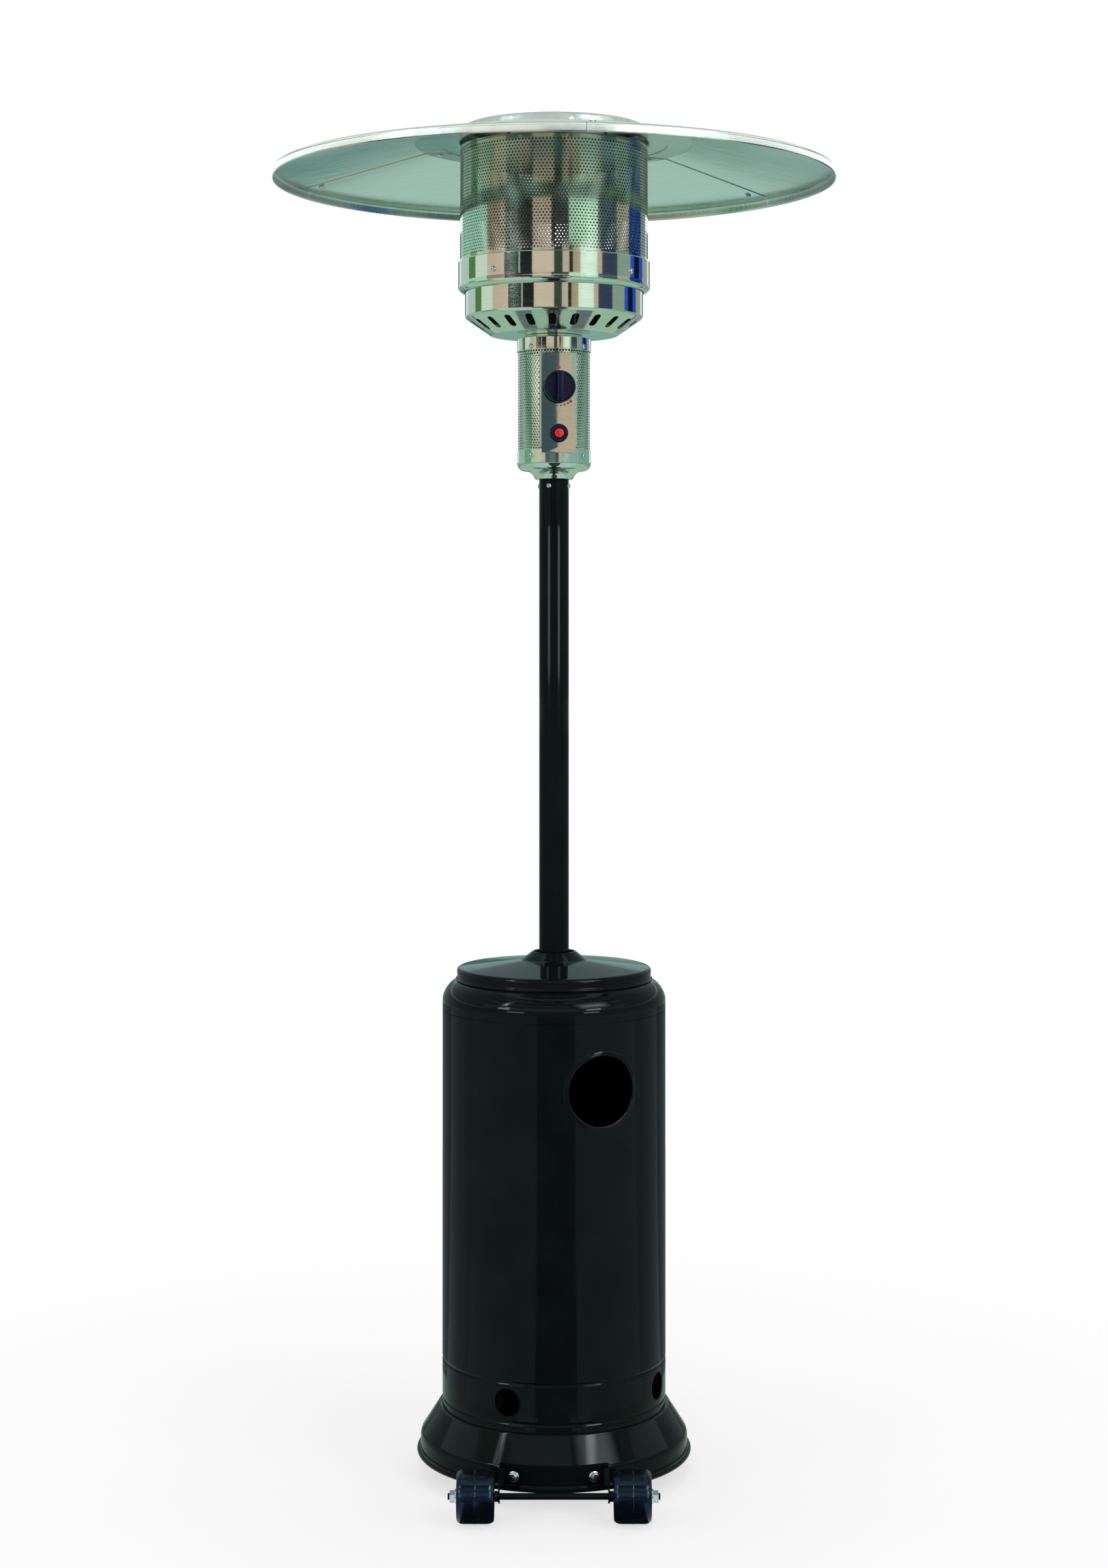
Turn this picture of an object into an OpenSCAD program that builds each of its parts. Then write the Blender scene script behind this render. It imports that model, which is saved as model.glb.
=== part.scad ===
// Free-standing gas patio heater: drum base, pole, burner head and three-panel reflector.
// Millimetres, +Z up. The front faces -Y, and the origin is on the floor under the pole.

/* [Base] */
// Diameter over the rolled rim of the base
base_d = 444; // [436:2:500]
// Height of the rim above the floor
rim_clear = 30; // [26:1:38]
// Thickness of the rolled rim
rim_bead_d = 12; // [8:1:14]
// Height of the upright wall above the underside of the rim
base_wall_h = 34; // [32:1:40]
// Height of the drum's seat above the underside of the rim
base_h = 80; // [66:1:90]
// Radius of the bend between the wall and the slope
base_bend_r = 12; // [6:1:16]
// Width of the ledge that shows round the drum's foot
ledge_w = 5; // [3:0.5:8]
// Height of the deck above the drum's seat
deck_rise = 12; // [8:1:20]
// Thickness of the base's pressed steel
base_t = 1.5; // [1:0.1:2.5]
// Diameter of the hole in the middle of the deck
deck_hole_d = 60; // [40:2:90]
// Thickness of the base plate
plate_t = 2; // [1.5:0.1:3]
// Diameter of a rubber foot at the floor
foot_d = 36; // [28:1:44]
// Distance of the feet from the middle, left and right
foot_x = 110; // [90:1:130]
// Distance of the front feet from the middle
foot_front = 78; // [60:1:90]
// Distance of the back feet from the middle
foot_back = 110; // [80:1:130]

/* [Wheels] */
// Diameter of a wheel
wheel_d = 80; // [72:1:88]
// Width of a wheel
wheel_w = 57; // [40:1:64]
// Height of the wheels above the floor while the heater stands on its feet
wheel_lift = 1; // [0.5:0.5:4]
// Radius of the wheel's rounded shoulder
wheel_round_r = 7; // [3:0.5:10]
// Depth of the recess in a wheel's side
wheel_recess = 5; // [2:0.5:8]
// Diameter of the axle
axle_d = 10; // [8:0.5:12]
// Distance of the axle in front of the rim
axle_reach = 42; // [41:1:52]
// Width across the bracket's ears
bracket_w = 170; // [150:1:180]
// Height of the bracket's plate
bracket_h = 30; // [26:1:34]
// Thickness of the bracket's steel
bracket_t = 2.5; // [2:0.1:4]
// Radius of the bracket's ear round the axle
ear_r = 14; // [11:0.5:18]
// Width of the flange on the top edge of an ear
ear_flange_w = 8; // [4:0.5:12]
// Spacing of the two bracket bolts
bracket_bolt_gap = 118; // [90:1:128]
// Length of shank that shows between the bracket and a bolt's head
bolt_stand = 12; // [6:1:16]
// Length of the spacer between an ear and a wheel
spacer_l = 6; // [3:0.5:10]

/* [Drum] */
// Diameter of the drum
drum_d = 362; // [350:1:370]
// Thickness of the drum's sheet
drum_t = 1; // [0.7:0.1:1.5]
// Height of the drum's wall, up to the seam
drum_h = 636; // [610:1:690]
// Heights of the two pressed grooves above the drum's foot
groove_z = [13, 75]; // [8:1:100]
// Radius of a pressed groove
groove_r = 4; // [3:0.5:6]
// Depth of a pressed groove
groove_depth = 1.6; // [1:0.1:2]
// Diameter of a vent hole
vent_d = 44; // [30:1:48]
// Height of the vents above the drum's foot
vent_z = 44; // [41:1:47]
// Direction of the first vent, measured from the front
vent_turn = -24; // [-45:1:45]
// Diameter of the access hole
access_d = 112; // [90:1:130]
// Width of the pressed lip round the access hole
access_lip_w = 7; // [4:0.5:10]
// Height of the access hole's middle above the drum's foot
access_z = 530; // [470:1:545]
// Direction of the access hole, measured from the front
access_turn = 25; // [10:1:40]
// Height of the shoulder above the seam
shoulder_h = 52; // [46:1:60]
// Radius of the shoulder
shoulder_r = 38; // [36:1:45]
// Diameter of the lid
lid_d = 315; // [306:1:318]
// Height of the lid's rim
lid_h = 16; // [12:1:20]
// Radius of the lid's edge
lid_edge_r = 6; // [3:0.5:9]
// Rise of the lid from its rim to the collar
lid_rise = 14; // [6:1:16]
// Diameter of the collar's foot on the lid
collar_foot_d = 104; // [96:1:120]
// Height of the collar on the lid
lid_collar_h = 13; // [10:1:20]
// Width of the gap between the pole and the lid's collar
pole_gap = 7.8; // [5:0.2:9]

/* [Pole and legs] */
// Diameter of the pole
pole_d = 48.3; // [47:0.1:50]
// Wall of the pole
pole_t = 1.5; // [1:0.1:2.5]
// Length of the pole
pole_len = 872; // [840:1:1000]
// Height of the pole's socket above the deck
leg_h = 607; // [590:1:630]
// Height of the bend in a leg above the deck
leg_knee_h = 528; // [490:1:540]
// Width of a leg
leg_w = 32; // [24:1:40]
// Thickness of a leg's steel
leg_t = 3; // [2:0.1:4]
// Depth of the stiffening flanges along a leg
leg_flange = 10; // [6:1:14]
// Direction of the first leg, measured from the front
leg_turn = 85; // [70:1:100]
// Gap between the legs and the drum
leg_clear = 14; // [8:1:20]
// Height of the pole's socket
socket_h = 50; // [40:1:60]
// Wall of the pole's socket
socket_t = 3.5; // [2.5:0.1:5]
// Direction of the first screw at the top of the pole, measured from the front
pole_screw_turn = -19; // [-40:1:40]
// Diameter of the gas pipe in the pole
pipe_d = 10; // [8:0.5:12]

/* [Control housing] */
// Direction of the head's controls, measured from the front
head_turn = 7; // [-20:1:20]
// Diameter of the control housing
control_d = 120; // [116:1:130]
// Height of the housing's flared neck
neck_h = 13; // [10:1:18]
// Height of the lower cup
cup_h = 34; // [32:1:45]
// Radius of the cup's rounded bottom edge
cup_round_r = 13; // [8:0.5:16]
// Height of the perforated wrap that shows
wrap_h = 159; // [150:1:175]
// Height of the upper collar
collar_h = 22; // [18:1:28]
// Sheet of the control housing
control_t = 1.2; // [0.8:0.1:1.5]
// Diameter of a hole in the perforated wrap
wrap_hole_d = 6; // [4:0.5:7]
// Number of hole positions round the perforated wrap
wrap_hole_n = 30; // [24:2:32]
// Width of the control panel
panel_w = 60; // [54:1:64]
// Length of the control panel below the top edge of the cup
panel_drop = 7; // [4:1:14]
// Diameter of the knob
knob_d = 52; // [44:1:56]
// Depth of the knob's skirt
knob_skirt_h = 9; // [6:0.5:12]
// Depth of the knob's grip bar
knob_bar_h = 13; // [8:0.5:16]
// Width of the knob's grip bar
knob_bar_w = 12; // [8:0.5:16]
// Height of the knob's axis above the top edge of the cup
knob_z = 98; // [85:1:105]
// Travel of the knob when it is pushed
knob_travel = 5; // [3:0.5:6]
// Height of the igniter's axis above the top edge of the cup
igniter_z = 24; // [18:1:28]
// Diameter of the igniter's bezel
bezel_d = 30; // [26:0.5:34]
// Diameter of the igniter's button
button_d = 14.6; // [12:0.2:15]
// Travel of the igniter's button
button_travel = 4; // [2:0.5:4]

/* [Burner] */
// Diameter of the burner bowl
bowl_d = 289; // [280:1:294]
// Diameter of the bowl's flat bottom
bowl_floor_d = 207; // [190:1:220]
// Height of the bowl's slotted cone
bowl_cone_h = 28; // [24:1:34]
// Height of the bowl's upright wall
bowl_wall_h = 41; // [36:1:50]
// Sheet of the bowl, the band and the flame screen
burner_t = 1; // [0.8:0.1:1.2]
// Number of slots in the cone
slot_n = 22; // [18:2:28]
// Width of a slot
slot_w = 12; // [8:0.5:13]
// Length of a slot
slot_l = 28; // [18:1:28]
// Diameter of the band round the foot of the screen
band_d = 311; // [309:1:318]
// Height of the band
band_h = 37; // [32:1:44]
// Height of the bead under the band
bead_h = 13; // [8:1:18]
// Diameter of the flame screen
screen_d = 305; // [300:1:306]
// Height of the flame screen above the band
screen_h = 187; // [170:1:200]
// Diameter of a hole in the flame screen
screen_hole_d = 10; // [6:0.5:11]
// Number of holes round the flame screen
screen_hole_n = 48; // [40:2:52]
// Number of rows of holes in the flame screen
screen_row_n = 10; // [8:1:11]
// Diameter of the burner head
burner_d = 150; // [130:1:154]
// Height of the burner head
burner_h = 25; // [20:1:32]
// Diameter of the venturi tube
venturi_d = 32; // [28:1:34]

/* [Reflector] */
// Diameter of the reflector
reflector_d = 912; // [880:2:960]
// Height of the turned-down lip
lip_h = 15; // [10:1:20]
// Radius of the bend between the dish and the lip
lip_bend_r = 6; // [3:0.5:8]
// Rise of a panel from its rim to the hub
panel_rise = 47; // [40:1:60]
// Sheet of the reflector
reflector_t = 1; // [0.8:0.1:1.5]
// Diameter of the hub's flat flange
hub_d = 444; // [420:2:460]
// Diameter of the hub's raised crown
crown_d = 300; // [280:2:340]
// Height of the step from the flange to the crown
crown_step = 25; // [18:1:32]
// Rise of the crown to its middle
crown_rise = 24; // [16:1:30]
// Inner diameter of the panels, under the hub
panel_in_d = 370; // [350:2:380]
// Direction of the first seam, measured from the front
seam_turn = 6; // [-20:1:20]
// Width of the lap at a seam, in degrees
lap_a = 3.6; // [3:0.1:5]
// Gap between the flame screen and the reflector's hub
hub_gap = 5; // [3:0.5:12]
// Distance of the reflector's studs from the middle
stud_r = 90; // [70:1:110]

/* [Hidden] */

$fn = 96;

// Clearances
fit_gap = 0.3; // between curved faces side by side
slip_gap = 0.15; // round a tube that slips into another
run_gap = 0.05; // round a turning or sliding shaft
bolt_gap = 0.25; // round a bolt in its hole
lap_gap = 0.15; // between lapped sheets
cut = 1; // how far a cutting tool runs past a face

// Fastener threads
m4 = 4;
m5 = 5;
m6 = 6;
m8 = 8;
function head_d(m) = 1.9 * m;
function head_h(m) = 0.6 * m;
function nut_af(m) = 1.65 * m;
function nut_h(m) = 0.8 * m;
function washer_d(m) = 2.2 * m;
function washer_h(m) = 0.25 * m;
function hole_d(m) = m + 2 * bolt_gap;
head_lift = 0.1; // a flat head on a curved wall
screw_tail = 3; // past what a screw holds

// Paints and metals
black_paint = [0.07, 0.08, 0.08];
black_plastic = [0.05, 0.05, 0.05];
steel = [0.78, 0.79, 0.78];
aluminium = [0.80, 0.83, 0.80];
zinc = [0.70, 0.72, 0.74];
brass = [0.78, 0.62, 0.30];
rubber = [0.10, 0.10, 0.10];
ceramic = [0.93, 0.92, 0.88];
red_plastic = [0.75, 0.08, 0.08];

// Base
rim_r = base_d / 2;
bead_r = rim_bead_d / 2;
wall_r = rim_r - bead_r;
wall_in_r = wall_r - base_t;
bead_z = rim_clear + bead_r;
wall_z = rim_clear + base_wall_h;
seat_z = rim_clear + base_h;
deck_z = seat_z + deck_rise;
drum_r = drum_d / 2;
seat_r = drum_r + ledge_w;
spigot_gap = 2;
spigot_r = drum_r - drum_t - spigot_gap;
plate_z = bead_z + bead_r + fit_gap;
plate_r = wall_in_r - fit_gap;
plate_flange_h = 6;
foot_places = [
    [-foot_x, -foot_front], [foot_x, -foot_front], [-foot_x, foot_back], [foot_x, foot_back]
];
foot_taper = 2;
foot_bore_d = 16;
foot_bore_h = 14;

// Wheels
axle_y = -(rim_r + axle_reach);
axle_z = wheel_d / 2 + wheel_lift;
bracket_z = bead_z + bead_r + fit_gap;
bracket_in_r = wall_r + slip_gap;
bracket_out_r = bracket_in_r + bracket_t;
bracket_a = asin((bracket_w - bracket_t) / 2 / bracket_out_r);
bracket_bolt_a = asin(bracket_bolt_gap / 2 / bracket_out_r);
bracket_bolt_z = bracket_z + bracket_h / 2;
ear_x = bracket_w / 2;
wheel_in_x = ear_x + spacer_l + fit_gap;
wheel_out_x = wheel_in_x + wheel_w;
washer_x = wheel_out_x + fit_gap;
axle_m = axle_d;
axle_end_x = washer_x + washer_h(axle_m) + nut_h(axle_m) + 3;
hub_r = axle_d / 2 + 8;
nut_seat = 0.6; // room for a flat nut on the curved wall
tread_r = wheel_d / 2;

// Drum
drum_z = seat_z + fit_gap;
seam_z = drum_z + drum_h;
seam_gap = 0.8;
drum_in_r = drum_r - drum_t;
shoulder_z = seam_z + shoulder_h;
joggle_h = 12;
lid_r = lid_d / 2;
lid_z = shoulder_z + fit_gap;
lid_top_z = lid_z + lid_h;
collar_z = lid_top_z + lid_rise;
collar_in_r = pole_d / 2 + pole_gap;
lid_t = drum_t;
shoulder_flange = 16;
seat_run = lid_r + 1.5 - (drum_r - shoulder_r);

// Legs and pole
leg_r = drum_in_r - leg_clear;
leg_foot_l = 38;
leg_count = 3;
socket_z = deck_z + leg_h;
pole_r = pole_d / 2;
pole_in_r = pole_r - pole_t;
socket_in_r = pole_r + slip_gap;
socket_r = socket_in_r + socket_t;
pole_z = socket_z + socket_t;
pole_top_z = pole_z + pole_len;
leg_tab_r = socket_r + slip_gap + leg_t;
leg_tab_z = socket_z + 6;
leg_bolt_z = socket_z + socket_h / 2;
leg_foot_r = leg_r - leg_t - leg_foot_l / 2;
knee_z = deck_z + leg_knee_h;
pole_screw_z = pole_top_z - 11;
pipe_wall = 1;
pipe_z = socket_z - 9;
tail_h = 38;

// Control housing
control_r = control_d / 2;
cup_z = pole_top_z + neck_h;
cup_top_z = cup_z + cup_h;
collar_foot_z = cup_top_z + wrap_h;
collar_top_z = collar_foot_z + collar_h;
boss_h = 5;
boss_r = 46;
spigot_l = 30;
cup_spigot_r = pole_in_r - slip_gap;
neck_low_r = 31;
neck_high_r = 41.5;
wrap_r = control_r - control_t - fit_gap;
wrap_t = 0.8;
wrap_in_r = wrap_r - wrap_t;
wrap_tuck = 16;
cup_screw_drop = 11;
collar_screw_rise = 6;
screw_a = [45, 135, 225, 315];
panel_t = 1.5;
panel_back = control_r + 1;
panel_face = panel_back + panel_t;
panel_z = cup_top_z - panel_drop;
panel_top_z = collar_foot_z - 6;
panel_flange = 11;
panel_flange_z = cup_top_z + 2;
knob_axis_z = cup_top_z + knob_z;
igniter_axis_z = cup_top_z + igniter_z;

// Gas valve, measured outwards from the head's axis
valve_w = 48;
valve_front = 22;
valve_back = 14;
valve_low = 27;
valve_high = 35;
bonnet_d = 20;
bonnet_face = panel_face + 1;
sleeve_d = 11.9;
spindle_d = 8;
valve_bore_d = sleeve_d + 2 * run_gap;
valve_bore_end = 13;
sleeve_back = 26;
sleeve_front = panel_face - 1;
spindle_flange_d = 11;
spindle_flange_h = 3;
nut_thin = 3;
knob_back = panel_face + nut_thin + knob_travel + 1;
knob_face = knob_back + knob_skirt_h;
knob_tip = knob_face + knob_bar_h;
spindle_tip = knob_tip - 5;
knob_edge = 2;
valve_z = knob_axis_z - valve_low;
valve_top_z = knob_axis_z + valve_high;
inlet_h = 9;
inlet_d = 18;

// Igniter
barrel_d = 17.6;
barrel_back = 18;
bezel_h = 6;
button_proud = button_travel + 0.5;
button_back = panel_face + 2;
button_face = panel_face + bezel_h + button_proud;
stem_d = 8;
stem_back = 44;
stem_bore_end = 36;
bezel_gap = 0.1;
button_room = button_back - button_travel - 1;

// Burner
bowl_z = collar_top_z + boss_h;
bowl_r = bowl_d / 2;
bowl_floor_r = bowl_floor_d / 2;
cone_top_z = bowl_z + bowl_cone_h;
bead_low_z = cone_top_z + bowl_wall_h;
band_z = bead_low_z + bead_h;
screen_z = band_z + band_h;
screen_top_z = screen_z + screen_h;
band_r = band_d / 2;
screen_r = screen_d / 2;
shelf_h = 2;
bowl_tuck = 11;
cone_a = atan2(bowl_cone_h, bowl_r - bowl_floor_r);
slot_r = (bowl_r + bowl_floor_r) / 2;
slot_z = (bowl_z + cone_top_z) / 2;
venturi_r = venturi_d / 2;
venturi_t = 1.5;
venturi_z = collar_foot_z - 6;
venturi_top_z = band_z + 5;
venturi_flange_r = venturi_r + 3;
bowl_bolt_r = 38;
burner_r = burner_d / 2;
burner_slot_n = 24;
burner_slot_w = 3;
nozzle_h = 14;

// Pilot group: places in the head's own x and y
lead_d = 4;
pilot_x = burner_r + 14;
lead_y = 8;
lead_in_x = 21;
spark_in_x = 34;
lead_bend_z = bowl_z + 33;
pilot_z = venturi_top_z + 12;
lead_holes = [[lead_in_x, -lead_y], [lead_in_x, lead_y], [spark_in_x, 0]];

// Screen holes
screen_margin = 8;
screen_row_gap = (screen_h - 2 * screen_margin - screen_hole_d) / (screen_row_n - 1);
wrap_row_gap = 10.4;
wrap_row_n = floor((wrap_h - 12) / wrap_row_gap);
wrap_open_a = asin((panel_w / 2 + wrap_hole_d) / wrap_r);

// Reflector
hub_z = screen_top_z + hub_gap;
rim_top_z = hub_z - panel_rise;
lip_z = rim_top_z - lip_h;
reflector_r = reflector_d / 2;
hub_flange_r = hub_d / 2;
step_run = 3;
step_r = hub_flange_r + step_run + fit_gap;
panel_in_r = panel_in_d / 2;
crown_r = crown_d / 2;
crown_z = hub_z + crown_step;
crown_run = 4;
crown_flat_r = 25;
crown_bend_r = 4;
crown_top_r = 60;
top_z = crown_z + crown_rise;
top_plate_drop = 9;
top_plate_r = screen_r - burner_t - fit_gap;
top_plate_z = screen_top_z - top_plate_drop;
top_plate_t = 1.5;
top_plate_flange = 12;
stud_m = m6;
crown_slope = crown_rise / (crown_r - crown_flat_r);
stud_top_z = crown_z + crown_slope * (crown_r - stud_r - stud_m / 2) - reflector_t - fit_gap;
panel_a = 120;
seam_gap_a = 0.06;
seam_bolt_rs = [(panel_in_r + hub_flange_r) / 2, reflector_r - 34];
panel_slope = panel_rise / (reflector_r - step_r);
lap_out_r = reflector_r - lip_bend_r - 8;

// Small helpers for outlines
function unit(v) = v / norm(v);
function left(v) = [-v[1], v[0]];
function wrapped(a) = a - 360 * floor((a + 180) / 360);
function reversed(p) = [for (i = [len(p) - 1 : -1 : 0]) p[i]];

// Arc about m from angle a0 to angle a1
function arc(m, r, a0, a1, n) =
    [for (i = [0 : n]) m + r * [cos(a0 + (a1 - a0) * i / n), sin(a0 + (a1 - a0) * i / n)]];

// Arc of radius r that rounds the corner b between a and c
function fillet(a, b, c, r, n = 6) =
    let (u = unit(a - b), v = unit(c - b))
    let (half = acos(u * v) / 2)
    let (m = b + unit(u + v) * r / sin(half))
    let (p = b + u * r / tan(half) - m, q = b + v * r / tan(half) - m)
    let (a0 = atan2(p[1], p[0]))
    arc(m, r, a0, a0 + wrapped(atan2(q[1], q[0]) - a0), n);

// Line through the points, with a radius at each inner point
function rounded(pts, radii) =
    [for (i = [0 : len(pts) - 1])
        each i == 0 || i == len(pts) - 1 || radii[i - 1] == 0
            ? [pts[i]]
            : fillet(pts[i - 1], pts[i], pts[i + 1], radii[i - 1])];

// Line beside an open line, t to its left
function beside(pts, t) =
    let (n = len(pts))
    let (side = [for (i = [0 : n - 2]) left(unit(pts[i + 1] - pts[i]))])
    [for (i = [0 : n - 1])
        let (a = side[max(i - 1, 0)], b = side[min(i, n - 2)])
        pts[i] + t * (a + b) / (1 + a * b)];

// Sheet metal outline: the face that shows and the face t behind it
module sheet_outline(pts, t) {
    polygon(concat(pts, reversed(beside(pts, t))));
}

// Pressed or spun sheet, turned about Z from an outline in radius and height
module spun_sheet(pts, t) {
    rotate_extrude() sheet_outline(pts, t);
}

// Children point outwards along their own Z, in a direction measured from the front
module outwards(a, z) {
    translate([0, 0, z]) rotate([0, 0, a]) rotate([90, 0, 0]) children();
}

module ring(r_in, r_out, h) {
    difference() {
        cylinder(r = r_out, h = h);
        translate([0, 0, -cut]) cylinder(r = r_in, h = h + 2 * cut);
    }
}

// Hexagon nut with a round bore, standing on Z = 0
module hex_nut(m, h = 0, bore = 0) {
    height = h > 0 ? h : nut_h(m);
    difference() {
        cylinder(d = nut_af(m) / cos(30), h = height, $fn = 6);
        translate([0, 0, -cut]) cylinder(d = bore > 0 ? bore : m, h = height + 2 * cut);
    }
}

// Round-headed screw: the head stands on Z = 0 and the shank goes down
module pan_screw(m, l) {
    cylinder(d1 = head_d(m), d2 = 0.7 * head_d(m), h = head_h(m));
    translate([0, 0, -l]) cylinder(d = m, h = l);
}

// Hexagon-headed bolt with its nut: the head stands on Z = 0, and grip is what it holds
module bolt_and_nut(m, grip, past) {
    cylinder(d = nut_af(m) / cos(30), h = head_h(m), $fn = 6);
    translate([0, 0, -grip - nut_h(m) - past]) cylinder(d = m, h = grip + nut_h(m) + past);
    translate([0, 0, -grip - nut_h(m)]) cylinder(d = nut_af(m) / cos(30), h = nut_h(m), $fn = 6);
}

// Hole along Z through whatever lies within reach of Z = 0
module through(d, reach) {
    translate([0, 0, -reach]) cylinder(d = d, h = 2 * reach);
}

// Round bar or tube through points, with a slightly thicker ball at each bend
module bent_rod(pts, d) {
    for (i = [0 : len(pts) - 2]) {
        v = pts[i + 1] - pts[i];
        translate(pts[i])
            rotate([0, acos(v[2] / norm(v)), atan2(v[1], v[0])])
                cylinder(d = d, h = norm(v));
    }
    for (i = [1 : len(pts) - 2]) {
        translate(pts[i]) sphere(d = 1.15 * d);
    }
}

// Everything on the head turns with its controls
module head() {
    rotate([0, 0, head_turn]) children();
}

// Base
base_line = rounded(
    [
        [wall_r, bead_z], [wall_r, wall_z], [seat_r, seat_z], [spigot_r, seat_z],
        [spigot_r, deck_z], [deck_hole_d / 2, deck_z]
    ],
    [base_bend_r, 2, 0, 4]
);

module base_flange() {
    color(black_paint) difference() {
        rotate_extrude() {
            sheet_outline(base_line, base_t);
            translate([wall_r, bead_z]) circle(r = bead_r);
        }
        for (s = [-1, 1]) {
            outwards(s * bracket_bolt_a, bracket_bolt_z)
                translate([0, 0, wall_r]) through(hole_d(m8), 2 * base_t);
        }
        for (i = [0 : leg_count - 1]) {
            rotate([0, 0, leg_turn + i * 360 / leg_count])
                translate([0, -leg_foot_r, deck_z]) through(hole_d(m6), 2 * base_t);
        }
    }
}

plate_line = rounded(
    [[0, plate_z], [plate_r, plate_z], [plate_r, plate_z + plate_flange_h]], [4]
);

module base_plate() {
    color(black_paint) difference() {
        spun_sheet(plate_line, plate_t);
        for (p = foot_places) {
            translate([p[0], p[1], plate_z]) through(hole_d(m6), 2 * plate_t);
        }
    }
}

module rubber_foot() {
    r = foot_d / 2;
    difference() {
        rotate_extrude() polygon(rounded(
            [[0, 0], [r, 0], [r - foot_taper, plate_z], [0, plate_z]], [3, 0]
        ));
        through(hole_d(m6), plate_z + cut);
        translate([0, 0, -cut]) cylinder(d = foot_bore_d, h = foot_bore_h + cut);
    }
}

module rubber_feet() {
    color(rubber) for (p = foot_places) {
        translate(p) rubber_foot();
    }
}

module foot_screws() {
    grip = plate_z + plate_t - foot_bore_h;
    color(zinc) for (p = foot_places) {
        translate([p[0], p[1], foot_bore_h]) rotate([180, 0, 0]) bolt_and_nut(m6, grip, 2);
    }
}

// Wheels
ear_back_y = -sqrt(pow(bracket_in_r, 2) - pow(ear_x - bracket_t, 2)) - bracket_t / 2;
ear_top_z = bracket_z + bracket_h;
ear_fall_y = ear_back_y - 16;

// Points of an ear in -Y and Z: the plate's end, a falling top edge and the end round the axle
ear_top = [-ear_fall_y, ear_top_z];
ear_tip = [-axle_y + ear_r, axle_z + ear_r];
ear_line = rounded(
    [
        [-ear_back_y, bracket_z + 1], [-ear_back_y, ear_top_z - 1], ear_top, ear_tip,
        [-axle_y + ear_r, axle_z - ear_r], [-ear_fall_y, bracket_z + 1]
    ],
    [0, 5, ear_r - 1, ear_r - 1]
);

// Strip just under the falling top edge of an ear
module ear_flange_outline() {
    along = unit(ear_tip - ear_top);
    strip = [ear_top + 5 * along, ear_tip - ear_r * along];
    sheet_outline(beside(strip, -0.3), -bracket_t);
}

// Lays an outline in -Y and Z on the plane x, and thickens it towards +X
module upright(x, w) {
    translate([x, 0, 0]) rotate([90, 0, -90]) translate([0, 0, -w]) linear_extrude(w) children();
}

module wheel_bracket() {
    color(black_paint) difference() {
        union() {
            rotate([0, 0, -90 - bracket_a])
                rotate_extrude(angle = 2 * bracket_a)
                    translate([bracket_in_r, bracket_z]) square([bracket_t, bracket_h]);
            for (s = [0, 1]) mirror([s, 0, 0]) {
                upright(ear_x - bracket_t, bracket_t) polygon(ear_line);
                upright(ear_x - ear_flange_w, ear_flange_w - bracket_t / 2) ear_flange_outline();
            }
        }
        for (s = [-1, 1]) {
            outwards(s * bracket_bolt_a, bracket_bolt_z)
                translate([0, 0, bracket_in_r]) through(hole_d(m8), 3 * bracket_t);
        }
        translate([0, axle_y, axle_z]) rotate([0, 90, 0])
            through(axle_d + 2 * run_gap, bracket_w);
    }
}

// Bolts with a round flange under the head, and their nuts inside the wall
module bracket_bolts() {
    grip = bracket_out_r - wall_in_r + nut_seat;
    color(zinc) for (s = [-1, 1]) {
        outwards(s * bracket_bolt_a, bracket_bolt_z) translate([0, 0, bracket_out_r + bolt_stand]) {
            cylinder(d = washer_d(m8), h = washer_h(m8));
            translate([0, 0, washer_h(m8)]) bolt_and_nut(m8, grip + bolt_stand + washer_h(m8), 2);
        }
    }
}

module wheel_axle() {
    color(black_paint) translate([-axle_end_x, axle_y, axle_z]) rotate([0, 90, 0])
        cylinder(d = axle_d, h = 2 * axle_end_x);
}

module wheel_spacers() {
    color(black_plastic) for (s = [0, 1]) mirror([s, 0, 0]) {
        translate([ear_x, axle_y, axle_z]) rotate([0, 90, 0])
            ring(axle_d / 2 + run_gap, axle_d / 2 + 3, spacer_l);
    }
}

module axle_nuts() {
    color(zinc) for (s = [0, 1]) mirror([s, 0, 0]) {
        translate([washer_x, axle_y, axle_z]) rotate([0, 90, 0]) {
            ring(axle_d / 2 + run_gap, washer_d(axle_m) / 2, washer_h(axle_m));
            translate([0, 0, washer_h(axle_m)]) hex_nut(axle_m, bore = axle_d + 2 * run_gap);
        }
    }
}

// Wheel about Z, from its inner side at Z = 0
module wheel() {
    rim_in_r = tread_r - 11;
    bore_r = axle_d / 2 + run_gap;
    face = [
        [bore_r, 0], [hub_r, 0], [hub_r + 1, wheel_recess], [rim_in_r, wheel_recess],
        [rim_in_r + 2, 0], [tread_r, 0]
    ];
    back = [for (p = reversed(face)) [p[0], wheel_w - p[1]]];
    radii = [0, 0, 0, 0, wheel_round_r, wheel_round_r, 0, 0, 0, 0];
    rotate_extrude() polygon(rounded(concat(face, back), radii));
}

module left_wheel() {
    color(black_plastic) translate([-wheel_in_x, axle_y, axle_z]) rotate([0, -90, 0]) wheel();
}

module right_wheel() {
    color(black_plastic) translate([wheel_in_x, axle_y, axle_z]) rotate([0, 90, 0]) wheel();
}

// Legs and pole
leg_line = rounded(
    [
        [leg_r - leg_t - leg_foot_l, deck_z], [leg_r, deck_z], [leg_r, knee_z],
        [leg_tab_r, leg_tab_z], [leg_tab_r, socket_z + socket_h - 4]
    ],
    [leg_t + 4, 30, 14]
);
leg_flange_line = rounded(
    [
        [leg_r, deck_z + 30], [leg_r, knee_z],
        [leg_r, knee_z] + 0.55 * ([leg_tab_r, leg_tab_z] - [leg_r, knee_z])
    ],
    [30]
);

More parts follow.
